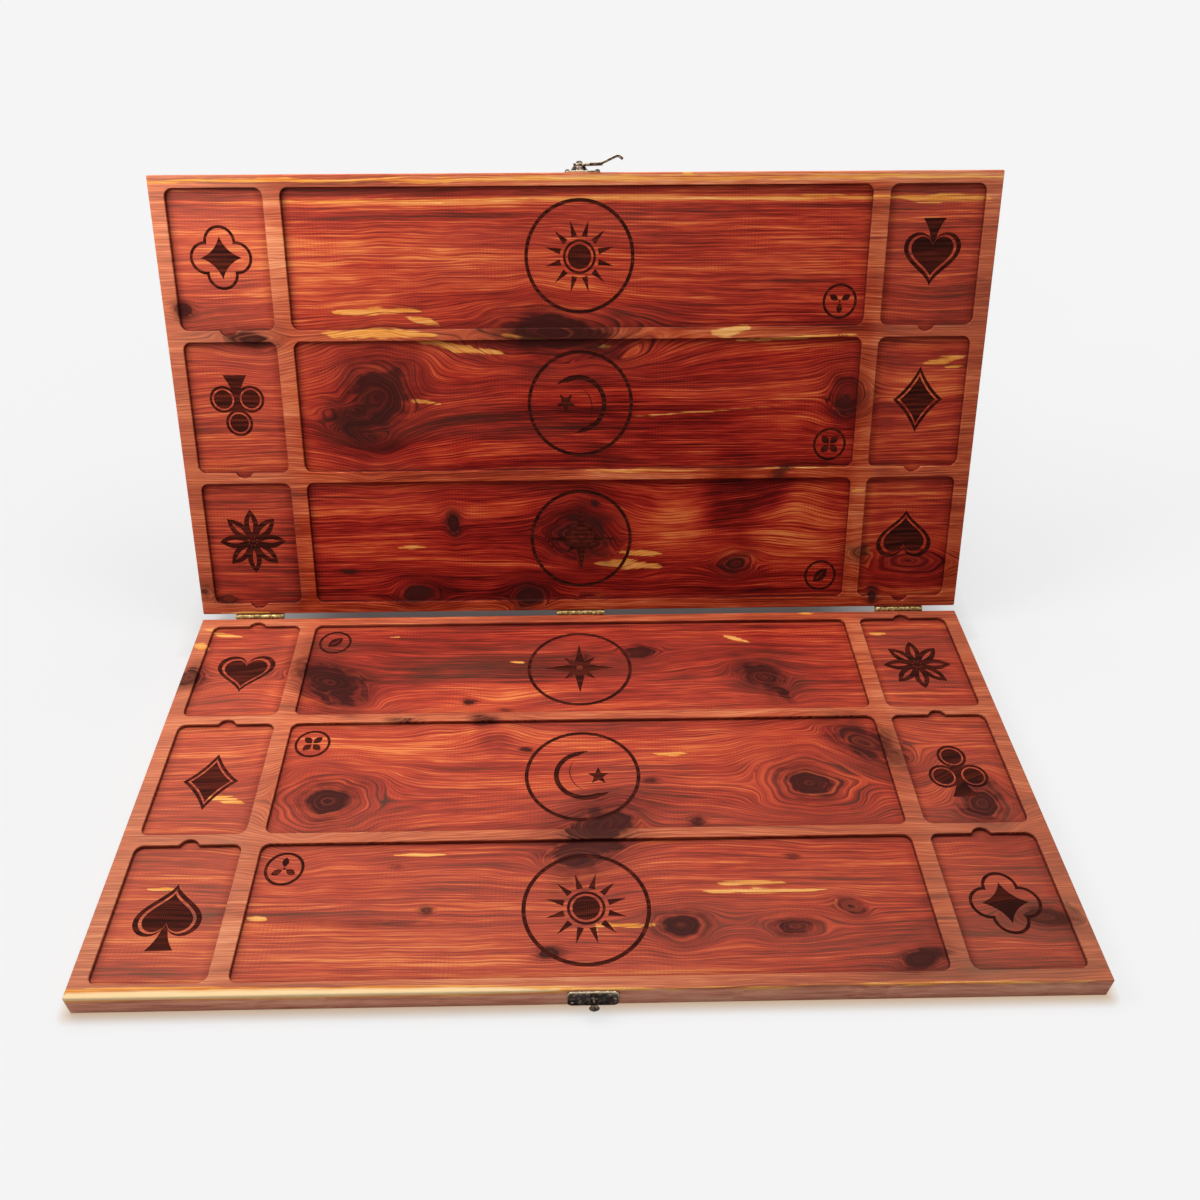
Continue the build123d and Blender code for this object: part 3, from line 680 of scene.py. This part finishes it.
# Oiled red cedar, planed on the face and milled in the pockets: a soft wood whose heartwood runs
# from orange to maroon in fine lines, under a satin oil that deepens it. The milled floors drink
# more oil and are deeper red.
cedar = bpy.data.materials.new("oiled_red_cedar_planed")
cedar.use_nodes = True
t = cedar.node_tree
skin = t.nodes["Principled BSDF"]
skin.inputs["Specular IOR Level"].default_value = 0.07
place = add_node(t, "Attribute", out="Vector", attribute_name="grain")
knot, fleck_and_highlight, tone, curl, painted_sheen, milled, wall, outer = (
    add_node(t, "Attribute", out="Fac", attribute_name=name)
    for name in ("knot", "fleck_and_highlight", "tone", "curl", "painted_sheen", "milled", "wall", "outer")
)
# the grain in millimetres: broad patches, bands, streaks, and fibres, which are finer on real
# cedar and would not show
broad = noise_of_size(t, place, (300, 22, 30), 3.0)
bands = noise_of_size(t, place, (90, 4, 9), 2.0, start=(7.3, 2.1, 0.4))
streaks = noise_of_size(t, place, (100, 1.2, 4), 3.0, 0.6)
fibres = noise_of_size(t, place, (22, 0.7, 1.6), 2.0, 0.6)
# growth rings 2.3 mm apart: each darkens slowly to its late wood and stops short
one_wave = 2 * math.pi / 20  # the Scale at which a wave texture repeats once in a unit
ring_step = one_wave / 2.3
at = add_node(t, "Mapping", {"Vector": place, "Scale": (1 / 300, ring_step, ring_step / 2)})
saw = add_node(
    t, "TexWave", {"Vector": at, "Scale": 1.0, "Distortion": 2.0, "Detail": 1.0, "Detail Scale": 0.6},
    out="Fac", bands_direction="Y", wave_profile="SAW",
)
late = add_node(t, "MapRange", (saw, 0.62, 0.97), interpolation_type="SMOOTHSTEP")
drawn = add_node(t, "Math", (curl, 0.24, 0.05))
clear = add_node(t, "Math", (knot, -0.75, 1.0))
# the mill's steps, 2.6 mm apart along the floor, in patches
at = add_node(t, "TexCoord", out="Object")
mill_steps = add_node(
    t, "TexWave", {"Vector": at, "Scale": one_wave / 0.0026, "Distortion": 0.6, "Detail": 1.0},
    out="Fac", bands_direction="X",
)
patches = noise_of_size(t, place, (45, 30, 30), 1.0, start=(3.1, 8.7, 0))
patches = add_node(t, "MapRange", (patches, 0.46, 0.66, 0, 0.05))

# how light the wood is, from all of these
level = add_node(t, "Math", (broad, 0.8, -0.525))
calm = add_node(t, "Math", (curl, -0.75, 1.25))
streaked = add_node(t, "Math", (streaks, 0.5), operation="SUBTRACT")
for part, share in ((streaked, calm), (bands, 0.5), (fibres, 0.8)):
    level = add_node(t, "Math", (part, share, level))
for darker, *shares in ((late, drawn, clear), (mill_steps, patches, milled)):
    for share in shares:
        darker = add_node(t, "Math", (darker, share))
    level = add_node(t, "Math", (level, darker), operation="SUBTRACT")
toned = add_node(t, "Math", (tone, 0.30, level))
planed, oiled = (
    add_node(t, "ValToRGB", (toned,), stops=stops) for stops in (
        [(0.10, "#58130A"), (0.30, "#8B2814"), (0.50, "#B74626"), (0.70, "#D36C41"), (0.92, "#E99A6C")],
        [(0.08, "#380604"), (0.30, "#76140E"), (0.50, "#A7271D"), (0.70, "#CC4C29"), (0.92, "#E88748")],
    )
)
# a painted sheen shows as a pale haze; sapwood is torn into streaks, and so is the painted highlight on the
# front arris; knots are smoky
sheen_share = add_node(t, "MapRange", (milled, 0, 1, 0.30, 0.15))
sheen_share = add_node(t, "Math", (painted_sheen, sheen_share))
torn = add_node(t, "Math", (streaks, 4.0, -1.0))
torn = add_node(t, "Math", (fleck_and_highlight, torn))
sap_and_highlight_share = add_node(t, "MapRange", (torn, 0.16, 0.62), interpolation_type="SMOOTHSTEP")
smoky = add_node(t, "Math", (streaks, -2.0, 2.0))
smoky = add_node(t, "Math", (knot, smoky))
smoky = add_node(t, "MapRange", (smoky, 0.04, 0.92, 0, 0.96))
sap_and_highlight_colour, knot_colour, dull = (
    add_node(t, "ValToRGB", (level,), stops=stops) for stops in (
        [(0.15, "#D8742B"), (0.5, "#EE9F47"), (0.85, "#FFC97F")],
        [(0.15, "#2A0F0B"), (0.5, "#3A1612"), (0.85, "#4E231B")],
        [(0.2, "#BE7059"), (0.5, "#E2957A"), (0.9, "#F4B698")],
    )
)
# a fleck above 0.9 turns towards cream; the painted highlight along the front arris, at 1.9, turns fully
# cream
cream_and_highlight = add_node(t, "MapRange", (fleck_and_highlight, 0.9, 1.7))
sap_and_highlight_colour = add_node(t, "Mix", {0: cream_and_highlight, 6: sap_and_highlight_colour, 7: linear("#FFDCA6")}, out=2, data_type="RGBA")
# the outer faces take the sapwood colour too, and with it the painted highlight at the arris
dull = add_node(t, "Mix", {0: sap_and_highlight_share, 6: dull, 7: sap_and_highlight_colour}, out=2, data_type="RGBA")
# painted shade: a pocket's floor is painted darker near its wall and darkest at its foot, as shade falls in
# the recess and its crease
painted_wall_shade, painted_foot_shade = (
    add_node(t, "Math", (milled, add_node(t, "MapRange", fall, interpolation_type="SMOOTHSTEP")))
    for fall in ((wall, 0.0, 8.0, 0.30, 0.0), (wall, 0.2, 0.95, 0.6, 0.0))
)
wood = planed
for share, over in (
    # oiled floors; the painted sheen, a pale haze; sapwood, with the painted arris highlight; smoky knots
    (milled, oiled), (sheen_share, linear("#DCA27F")), (sap_and_highlight_share, sap_and_highlight_colour), (smoky, knot_colour),
    # the painted shade near each pocket's wall and at its foot
    (painted_wall_shade, linear("#4A0F0C")), (painted_foot_shade, linear("#1C0806")), (outer, dull),
):
    wood = add_node(t, "Mix", {0: share, 6: wood, 7: over}, out=2, data_type="RGBA")
gloss = add_node(t, "MapRange", (fibres, 0, 1, 0.42, 0.62))
relief = add_node(t, "Math", (late, -0.5, fibres))
bump = add_node(t, "Bump", {"Height": relief, "Strength": 0.12, "Distance": 0.0003})
for name, value in {"Base Color": wood, "Roughness": gloss, "Normal": bump}.items():
    t.links.new(value, skin.inputs[name])

# Burnt cedar: where a figure is engraved the wood is charred brown, in fine crossing passes 1.3 mm
# apart. The real ones are about 0.3 mm apart, too fine to show.
charred = bpy.data.materials.new("laser_burnt_cedar")
charred.use_nodes = True
t = charred.node_tree
charred_skin = t.nodes["Principled BSDF"]
charred_skin.inputs["Roughness"].default_value = 0.75
charred_skin.inputs["Specular IOR Level"].default_value = 0.07
place = add_node(t, "Attribute", out="Vector", attribute_name="grain")
level = noise_of_size(t, place, (60, 3, 9), 4.0)
at = add_node(t, "TexCoord", out="Object")
passes = {"Vector": at, "Scale": one_wave / 0.0013, "Distortion": 0.4}
for way in "XY":
    across = add_node(t, "TexWave", passes, out="Fac", bands_direction=way)
    level = add_node(t, "Math", (across, 0.16, level))
burn = add_node(t, "ValToRGB", (level,), stops=[(0.4, "#1B0805"), (0.66, "#3B120A"), (0.9, "#662618")])
t.links.new(burn, charred_skin.inputs["Base Color"])

# The painted sheen, a pale haze: its share at the hinge edge, how much it grows towards the free edge, how it
# changes to the right and how much more it is at the ends
lower_sheen_plan, upper_sheen_plan = (0.25, 0.65, -0.3, 0.35), (-0.25, 0.7, -0.35, 0.4)
for panel, side, seed, boards, place, *lists in (
    ("lower", 1, 11, lower_boards, lower_place,
     lower_knots, lower_flecks_and_highlight, lower_tones, lower_bends, lower_sheen_plan, lower_cuts),
    ("upper", -1, 71, upper_boards, upper_place,
     upper_knots, upper_flecks, upper_tones, upper_bends, upper_sheen_plan, upper_cuts),
):
    for part, where in zip(boards, ("hinge_side", "middle", "free_side")):
        points = np.empty(len(part.vertices) * 3, np.float32)
        part.vertices.foreach_get("co", points)
        points = points.reshape(-1, 3).astype(float)
        seen = np.c_[side * points[:, 0], -points[:, 1], points[:, 2]]
        numbers = wood_numbers(seen, *lists, seed) | milling_numbers(points)
        for name, values in numbers.items():
            kind, field = ("FLOAT_VECTOR", "vector") if values.ndim == 2 else ("FLOAT", "value")
            layer = part.attributes.new(name, kind, "POINT")
            layer.data.foreach_set(field, values.astype(np.float32).ravel())
        part.transform(Matrix.Scale(0.001, 4) @ place)
        part.update()
        part.materials.append(cedar)
        part.materials.append(charred)
        board = bpy.data.objects.new(f"{panel}_{where}_board_wood", part)
        bpy.context.scene.collection.objects.link(board)
        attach(board, f"{panel}_panel")
        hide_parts(f"{panel}_board_{where}")

# THE HINGES. Three small butt hinges of stamped brass strip, its ends rolled into knuckles round
# a pin, plated and antiqued, and tumbled so that no edge is sharp. Slotted countersunk screws
# hold their leaves to the panels' edges.

leaf_ease, pin_ease, turned_steps = 0.10, 0.2, 64
slot_wide, slot_deep, screw_tip = 0.55, 0.5, 0.35
flat_head, flat_shank, flat_length, leaf_thick = 2.1, 0.9, 9.5, 1.05
leaf_screw_drop, leaf_screw_half_pitch = 7.1, 11.5


def rubbed_metal(name, deep, middle, bright, rub, rough):
    """Plated metal, darkened and rubbed back: three colours by a cloudy noise of 2.2 mm and specks
    of 0.4 mm, the brightest on the eased edges, with scratches 0.15 mm apart in its roughness."""
    finish = bpy.data.materials.new(name)
    finish.use_nodes = True
    t = finish.node_tree
    skin = t.nodes["Principled BSDF"]
    skin.inputs["Metallic"].default_value = 1.0
    at = add_node(t, "TexCoord", out="Object")
    cloud = noise_of_size(t, at, [0.0022] * 3, 4.0, 0.6)
    speck = noise_of_size(t, at, [0.0004] * 3, 2.0)
    scratch = noise_of_size(t, at, (0.006, 0.00015, 0.00015), 1.0)
    rubbed = add_node(t, "Attribute", out="Fac", attribute_name="rubbed")
    level = add_node(t, "Math", (speck, 0.35, cloud))
    level = add_node(t, "Math", (rubbed, rub, level))
    colour = add_node(t, "ValToRGB", (level,), stops=[(0.42, deep), (0.70, middle), (1.0, bright)])
    gloss = add_node(t, "MapRange", (scratch, 0, 1, rough - 0.1, rough + 0.14))
    bump = add_node(t, "Bump", {"Height": level, "Strength": 0.25, "Distance": 0.00004})
    for name, value in {"Base Color": colour, "Roughness": gloss, "Normal": bump}.items():
        t.links.new(value, skin.inputs[name])
    return finish


# Antique brass: plated, darkened and rubbed back, so it is straw gold where hands and the drum
# rub it and olive brown in the hollows, with fine scratches along it
brass = rubbed_metal("antique_brass_plated_rubbed", "#352A18", "#836A42", "#DCC594", 0.35, 0.34)


def add_piece(name, mesh, finish, body, node):
    """One finished piece: its mesh in metres, its finish, and what it rides on and stands for."""
    mesh.materials.clear()
    mesh.materials.append(finish)
    piece = bpy.data.objects.new(name, mesh)
    bpy.context.scene.collection.objects.link(piece)
    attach(piece, body)
    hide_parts(node)


def eased_copy(node, ease):
    """A CAD piece's mesh with its loose triangles merged and every edge sharper than 28 degrees
    rounded by this many millimetres. The rounds are marked as rubbed."""
    piece = bmesh.new()
    piece.from_mesh(frame["nodes"][node].data)
    bmesh.ops.remove_doubles(piece, verts=piece.verts, dist=2e-6)
    rubbed = piece.faces.layers.float.new("rubbed")
    sharp = [e for e in piece.edges if e.calc_face_angle(0.0) > math.radians(28)]
    rounds = bmesh.ops.bevel(
        piece, geom=sharp, offset=ease / 1000, segments=2, profile=0.5, affect="EDGES", clamp_overlap=False,
    )["faces"]
    for face in rounds:
        face[rubbed] = 1.0
    for face in piece.faces:
        face.smooth = True
    mesh = bpy.data.meshes.new(node)
    bmesh.ops.triangulate(piece, faces=piece.faces)
    piece.to_mesh(mesh)
    piece.free()
    mesh.set_sharp_from_angle(angle=math.radians(35))
    return mesh


def turned(profile, places):
    """A profile of (radius, height) from one end of the axis to the other, turned round it. One
    closed shell at each of these places (matrices, in millimetres)."""
    r, z = np.array(profile, float).T
    a = np.linspace(0, 2 * math.pi, turned_steps, endpoint=False)
    radius, height = r[1:-1, None], np.repeat(z[1:-1, None], turned_steps, 1)
    ring = np.stack([radius * np.cos(a), radius * np.sin(a), height], -1)
    points = np.vstack([ring.reshape(-1, 3), (0, 0, z[0]), (0, 0, z[-1])])
    rows, last = len(profile) - 2, len(points) - 1
    i = np.arange(turned_steps)
    j = (i + 1) % turned_steps
    top = (rows - 1) * turned_steps
    ends = [np.c_[j, i, np.full_like(i, last - 1)], np.c_[top + i, top + j, np.full_like(i, last)]]
    faces = ring_quads(turned_steps, rows).tolist() + np.vstack(ends).tolist()
    mesh = bpy.data.meshes.new("turned")
    whole = bmesh.new()
    mesh.from_pydata(points.tolist(), [], faces)
    for place in places:
        one = mesh.copy()
        one.transform(place)
        whole.from_mesh(one)
    bmesh.ops.recalc_face_normals(whole, faces=whole.faces)
    for face in whole.faces:
        face.smooth = True
    whole.to_mesh(mesh)
    whole.free()
    return mesh


def slotted(mesh, places, top, reach):
    """Saws a screwdriver slot across each head: a bar as wide and deep as the slot is taken out
    of the mesh, at these places, below this height."""
    bar = bmesh.new()
    for n, place in enumerate(places):
        size = Matrix.Diagonal((2 * reach, slot_wide, 2 * slot_deep, 1))
        spin = Matrix.Rotation(0.9 + 2.1 * n, 4, "Z")
        bmesh.ops.create_cube(bar, size=1, matrix=place @ Matrix.Translation((0, 0, top)) @ spin @ size)
    cutter_mesh = bpy.data.meshes.new("slots")
    bar.to_mesh(cutter_mesh)
    bar.free()
    pair = [bpy.data.objects.new("part", m) for m in (mesh, cutter_mesh)]
    for o in pair:
        bpy.context.scene.collection.objects.link(o)
    saw = pair[0].modifiers.new("slots", "BOOLEAN")
    saw.object, saw.operation, saw.solver = pair[1], "DIFFERENCE", "EXACT"
    bpy.context.view_layer.update()
    done = bpy.data.meshes.new_from_object(pair[0].evaluated_get(bpy.context.evaluated_depsgraph_get()))
    for o in pair:
        bpy.data.objects.remove(o)
    done.set_sharp_from_angle(angle=math.radians(30))
    return done


def in_metres(mesh):
    """The mesh, brought from millimetres to metres."""
    mesh.transform(Matrix.Scale(0.001, 4))
    return mesh


for side in ("left", "middle", "right"):
    for panel in ("lower", "upper"):
        node = f"hinge_{side}_{panel}_leaf"
        leaf = eased_copy(node, leaf_ease)
        add_piece(f"{side}_hinge_{panel}_leaf_eased", leaf, brass, f"{panel}_panel", node)
    node = f"hinge_{side}_pin"
    add_piece(f"{side}_hinge_pin_eased", eased_copy(node, pin_ease), brass, "lower_panel", node)

flat_screw = [
    (0, -flat_length), (screw_tip, -flat_length + 0.4), (flat_shank, -flat_length + 2.4),
    (flat_shank, -leaf_thick), (flat_head - 0.06, -0.10), (flat_head - 0.04, -0.03),
    (flat_head - 0.12, 0.0), (1.0, 0.0), (0, 0.0),
]
face_on = Matrix((
    (1, 0, 0, 0), (0, 0, 1, leaf_thick), (0, -1, 0, pin_above_face - leaf_screw_drop), (0, 0, 0, 1),
))
for panel, place in (("lower", lower_place), ("upper", upper_place)):
    spots = [
        place @ Matrix.Translation((x + dx, 0, 0)) @ face_on
        for x in (-card_column_x, 0, card_column_x) for dx in (-leaf_screw_half_pitch, leaf_screw_half_pitch)
    ]
    screws = in_metres(slotted(turned(flat_screw, spots), spots, 0.0, 3.0))
    add_piece(f"{panel}_hinge_screws_slotted", screws, brass, f"{panel}_panel", f"hinge_screws_{panel}")

# THE LATCH, on the free edge of the upper panel. A stamped plate with a raised boss, screwed on
# at its corners, and a cast hook with a bent finger tab that swings on a domed rivet. All of it
# is plated dark bronze and rubbed at the edges.

plate_ease, hook_ease = 0.16, 0.16
latch_x, plate_thick = 1.2, 1.2
latch_screw_places = [(x, y) for x in (-8.45, 12.85) for y in (-4.8, 4.8)]
round_head, round_height, round_shank, round_length = 1.75, 1.0, 0.9, 8.0
rivet_shank, rivet_head, rivet_foot, rivet_top = 1.5, 2.4, 6.35, 8.05

# Dark bronze: nearly black brown with a cool grey sheen, worn to straw brown along the edges
bronze = rubbed_metal("dark_bronze_plated_rubbed", "#17110F", "#4A3C38", "#D3BFA0", 0.38, 0.30)


def dome(radius, foot, top, steps=10):
    """Half an ellipse from its foot to the top of the axis."""
    a = np.linspace(0, math.pi / 2, steps)
    return list(zip(radius * np.cos(a[:-1]), foot + (top - foot) * np.sin(a[:-1]))) + [(0, top)]


latch_place = upper_place @ Matrix((
    (-1, 0, 0, -latch_x), (0, 0, -1, -panel_depth), (0, -1, 0, -panel_thick / 2), (0, 0, 0, 1),
))
add_piece("latch_plate_eased", eased_copy("latch_plate", plate_ease), bronze, "upper_panel", "latch_plate")
add_piece("latch_hook_eased", eased_copy("latch_hook", hook_ease), bronze, "hook", "latch_hook")
rivet = in_metres(turned([
    (0, 0.05), (rivet_shank, 0.05), (rivet_shank, rivet_foot), (rivet_head - 0.15, rivet_foot),
    *dome(rivet_head, rivet_foot + 0.12, rivet_top),
], [latch_place]))
add_piece("latch_rivet_domed", rivet, bronze, "upper_panel", "latch_rivet")
round_screw = [
    (0, -round_length), (screw_tip, -round_length + 0.4), (round_shank, -round_length + 2.2),
    (round_shank, 0), (round_head - 0.12, 0), *dome(round_head, 0.12, round_height),
]
spots = [latch_place @ Matrix.Translation((x, y, plate_thick)) for x, y in latch_screw_places]
screws = in_metres(slotted(turned(round_screw, spots), spots, round_height, 2.0))
add_piece("latch_screws_slotted", screws, bronze, "upper_panel", "latch_screws")

# THE CATCH, on the free edge of the lower panel: a stamped plate held by three screws, with a
# turned post riveted through its middle, whose neck the hook closes on.

post_tenon, post_foot, post_neck, post_head = 1.4, 2.9, 1.9, 3.15
post_head_low, post_top = 6.65, 7.95
catch_screw_places = [(-12.9, -4.2), (-12.9, 4.2), (11.7, 0)]

catch_place = lower_place @ Matrix((
    (1, 0, 0, latch_x), (0, 0, -1, -panel_depth), (0, 1, 0, -panel_thick / 2), (0, 0, 0, 1),
))
add_piece("catch_plate_eased", eased_copy("catch_plate", plate_ease), bronze, "lower_panel", "catch_plate")
flare = np.linspace(0, math.pi / 2, 7)
neck = list(zip(post_foot - (post_foot - post_neck) * np.sin(flare), 1.45 + 0.75 * (1 - np.cos(flare))))
post = [
    (0, 0.05), (post_tenon, 0.05), (post_tenon, plate_thick), (post_foot, plate_thick), *neck,
    (post_neck, post_head_low - 0.2), (post_neck + 0.2, post_head_low), (post_head - 0.2, post_head_low),
    *dome(post_head, post_head_low + 0.2, post_top),
]
add_piece("catch_post_domed", in_metres(turned(post, [catch_place])), bronze, "lower_panel", "catch_post")
spots = [catch_place @ Matrix.Translation((x, y, plate_thick)) for x, y in catch_screw_places]
screws = in_metres(slotted(turned(round_screw, spots), spots, round_height, 2.0))
add_piece("catch_screws_slotted", screws, bronze, "lower_panel", "catch_screws")

# THE FLOOR AND THE LIGHT. A white paper sweep under soft studio lamps. Three tenths of what the
# camera sees of the paper is lamplight, so it keeps the board's shadow. The rest makes up an even
# white, except for a painted shadow in the gap behind the hinges, where it is cut away, and a
# painted contact shadow at the board's foot, tinted warm like light bounced from the wood.

paper_colour = linear("#F5F5F5")
world = bpy.data.worlds.new("studio")
world.use_nodes = True
t = world.node_tree
white, glossy, through = (
    add_node(t, "LightPath", out=f"Is {way} Ray") for way in ("Camera", "Glossy", "Transmission")
)
for other in (glossy, through):
    white = add_node(t, "Math", (white, other), operation="MAXIMUM")
t.nodes["Background"].inputs["Color"].default_value = paper_colour
t.links.new(white, t.nodes["Background"].inputs["Strength"])
bpy.context.scene.world = world

# The sweep, 12 m square, with its points closer together near the board
floor_span, floor_steps, paper_white, lit_share = 6.0, 241, 0.87, 0.30
places = np.linspace(-1, 1, floor_steps)
places = floor_span * np.sign(places) * np.abs(places) ** 2
floor_at = np.stack(np.meshgrid(places, places), -1).reshape(-1, 2)
floor_at = np.c_[floor_at, np.zeros(len(floor_at))]
lamplight = np.zeros(len(floor_at))


def soft_lamp(name, at, towards, size, watts):
    """A square lamp at one point, facing another. Returns the light it gives white paper on the
    floor, which falls as the two cosines and the inverse square of the distance."""
    data = bpy.data.lights.new(name, "AREA")
    data.shape, data.size, data.energy = "SQUARE", size, watts
    lamp = bpy.data.objects.new(name, data)
    direction = Vector(towards) - Vector(at)
    lamp.matrix_world = Matrix.Translation(at) @ direction.to_track_quat("-Z", "Y").to_matrix().to_4x4()
    lamp.visible_camera = False
    bpy.context.scene.collection.objects.link(lamp)
    way = floor_at - at
    far = np.linalg.norm(way, axis=1)
    leaving = np.maximum(way @ direction.normalized(), 0) / far
    return paper_white * watts / math.pi**2 * leaving * (at[2] / far) / far**2


lamplight += soft_lamp("left_lamp", (-0.9, 0.0, 1.0), (0, 0.1, 0.05), 0.6, 2.05)
lamplight += soft_lamp("near_left_lamp", (-0.45, 0.12, 0.6), (-0.1, 0.25, 0.25), 0.35, 2.4)
lamplight += soft_lamp("back_lamp", (-0.1, 0.5, 1.3), (0, 0.0, 0.02), 0.8, 9.2)
lamplight += soft_lamp("right_lamp", (0.35, 0.15, 0.9), (0, 0.15, 0.1), 0.5, 2.4)
lamplight += soft_lamp("front_left_lamp", (-1.1, -2.2, 1.6), (0, 0.1, 0.1), 0.6, 8.5)

i = np.arange(floor_steps - 1)
i = (i[:, None] * floor_steps + i).ravel()
floor_faces = np.c_[i, i + 1, i + floor_steps + 1, i + floor_steps]
floor_mesh = bpy.data.meshes.new("floor")
floor_mesh.from_pydata(floor_at.tolist(), [], floor_faces.tolist())
# how much light the paper falls short of an even white, cut away in the gap behind the hinges to paint a
# shadow there
short = (paper_colour[0] - lit_share * lamplight) / (1 - lit_share)
gap_y, gap_half_width, gap_half_length, gap_fade, gap_shadow_depth = 0.185, 0.036, 0.315, 0.12, 0.95
painted_gap_shadow = np.clip((gap_half_length - np.abs(floor_at[:, 0])) / gap_fade, 0, 1) ** 0.7
short = short * (1 - gap_shadow_depth * painted_gap_shadow * (np.abs(floor_at[:, 1] - gap_y) < gap_half_width))
floor_mesh.attributes.new("short", "FLOAT", "POINT").data.foreach_set("value", short.astype(np.float32))
floor = bpy.data.objects.new("floor", floor_mesh)
bpy.context.scene.collection.objects.link(floor)
paper = bpy.data.materials.new("white_paper_sweep")
paper.use_nodes = True
t = paper.node_tree
matt = t.nodes["Principled BSDF"]
matt.inputs["Base Color"].default_value = (paper_white, paper_white, paper_white, 1)
matt.inputs["Roughness"].default_value = 1.0
matt.inputs["Specular IOR Level"].default_value = 0.0
seen = add_node(t, "LightPath", out="Is Camera Ray")
short = add_node(t, "Attribute", out="Fac", attribute_name="short")
# how far outside the lower panel's foot a point of the paper is
off = add_node(t, "VectorMath", (add_node(t, "TexCoord", out="Object"),), operation="ABSOLUTE")
off = add_node(t, "VectorMath", (off, (panel_width / 2000, panel_depth / 2000, 0)), operation="SUBTRACT")
off = add_node(t, "VectorMath", (off, (0, 0, 0)), operation="MAXIMUM")
off = add_node(t, "VectorMath", (off,), out="Value", operation="LENGTH")
# a painted contact shadow: within 8 mm of the lower panel's foot the glow turns darker and warm, like light
# bounced from the wood
painted_contact_shadow = add_node(t, "MapRange", (off, 0, 0.008, 1, 0))
contact_shadow_colour = add_node(t, "Mix", {0: painted_contact_shadow, 6: (1, 1, 1, 1), 7: linear("#E6C8A8")}, out=2, data_type="RGBA")
glow = add_node(t, "Emission", {"Color": contact_shadow_colour, "Strength": short})
share = add_node(t, "Math", (seen, 1 - lit_share))
both = add_node(t, "MixShader", (share, matt.outputs[0], glow))
t.links.new(both, t.nodes["Material Output"].inputs["Surface"])
floor_mesh.materials.append(paper)

# The scene's placements brought up to date.

bpy.context.view_layer.update()
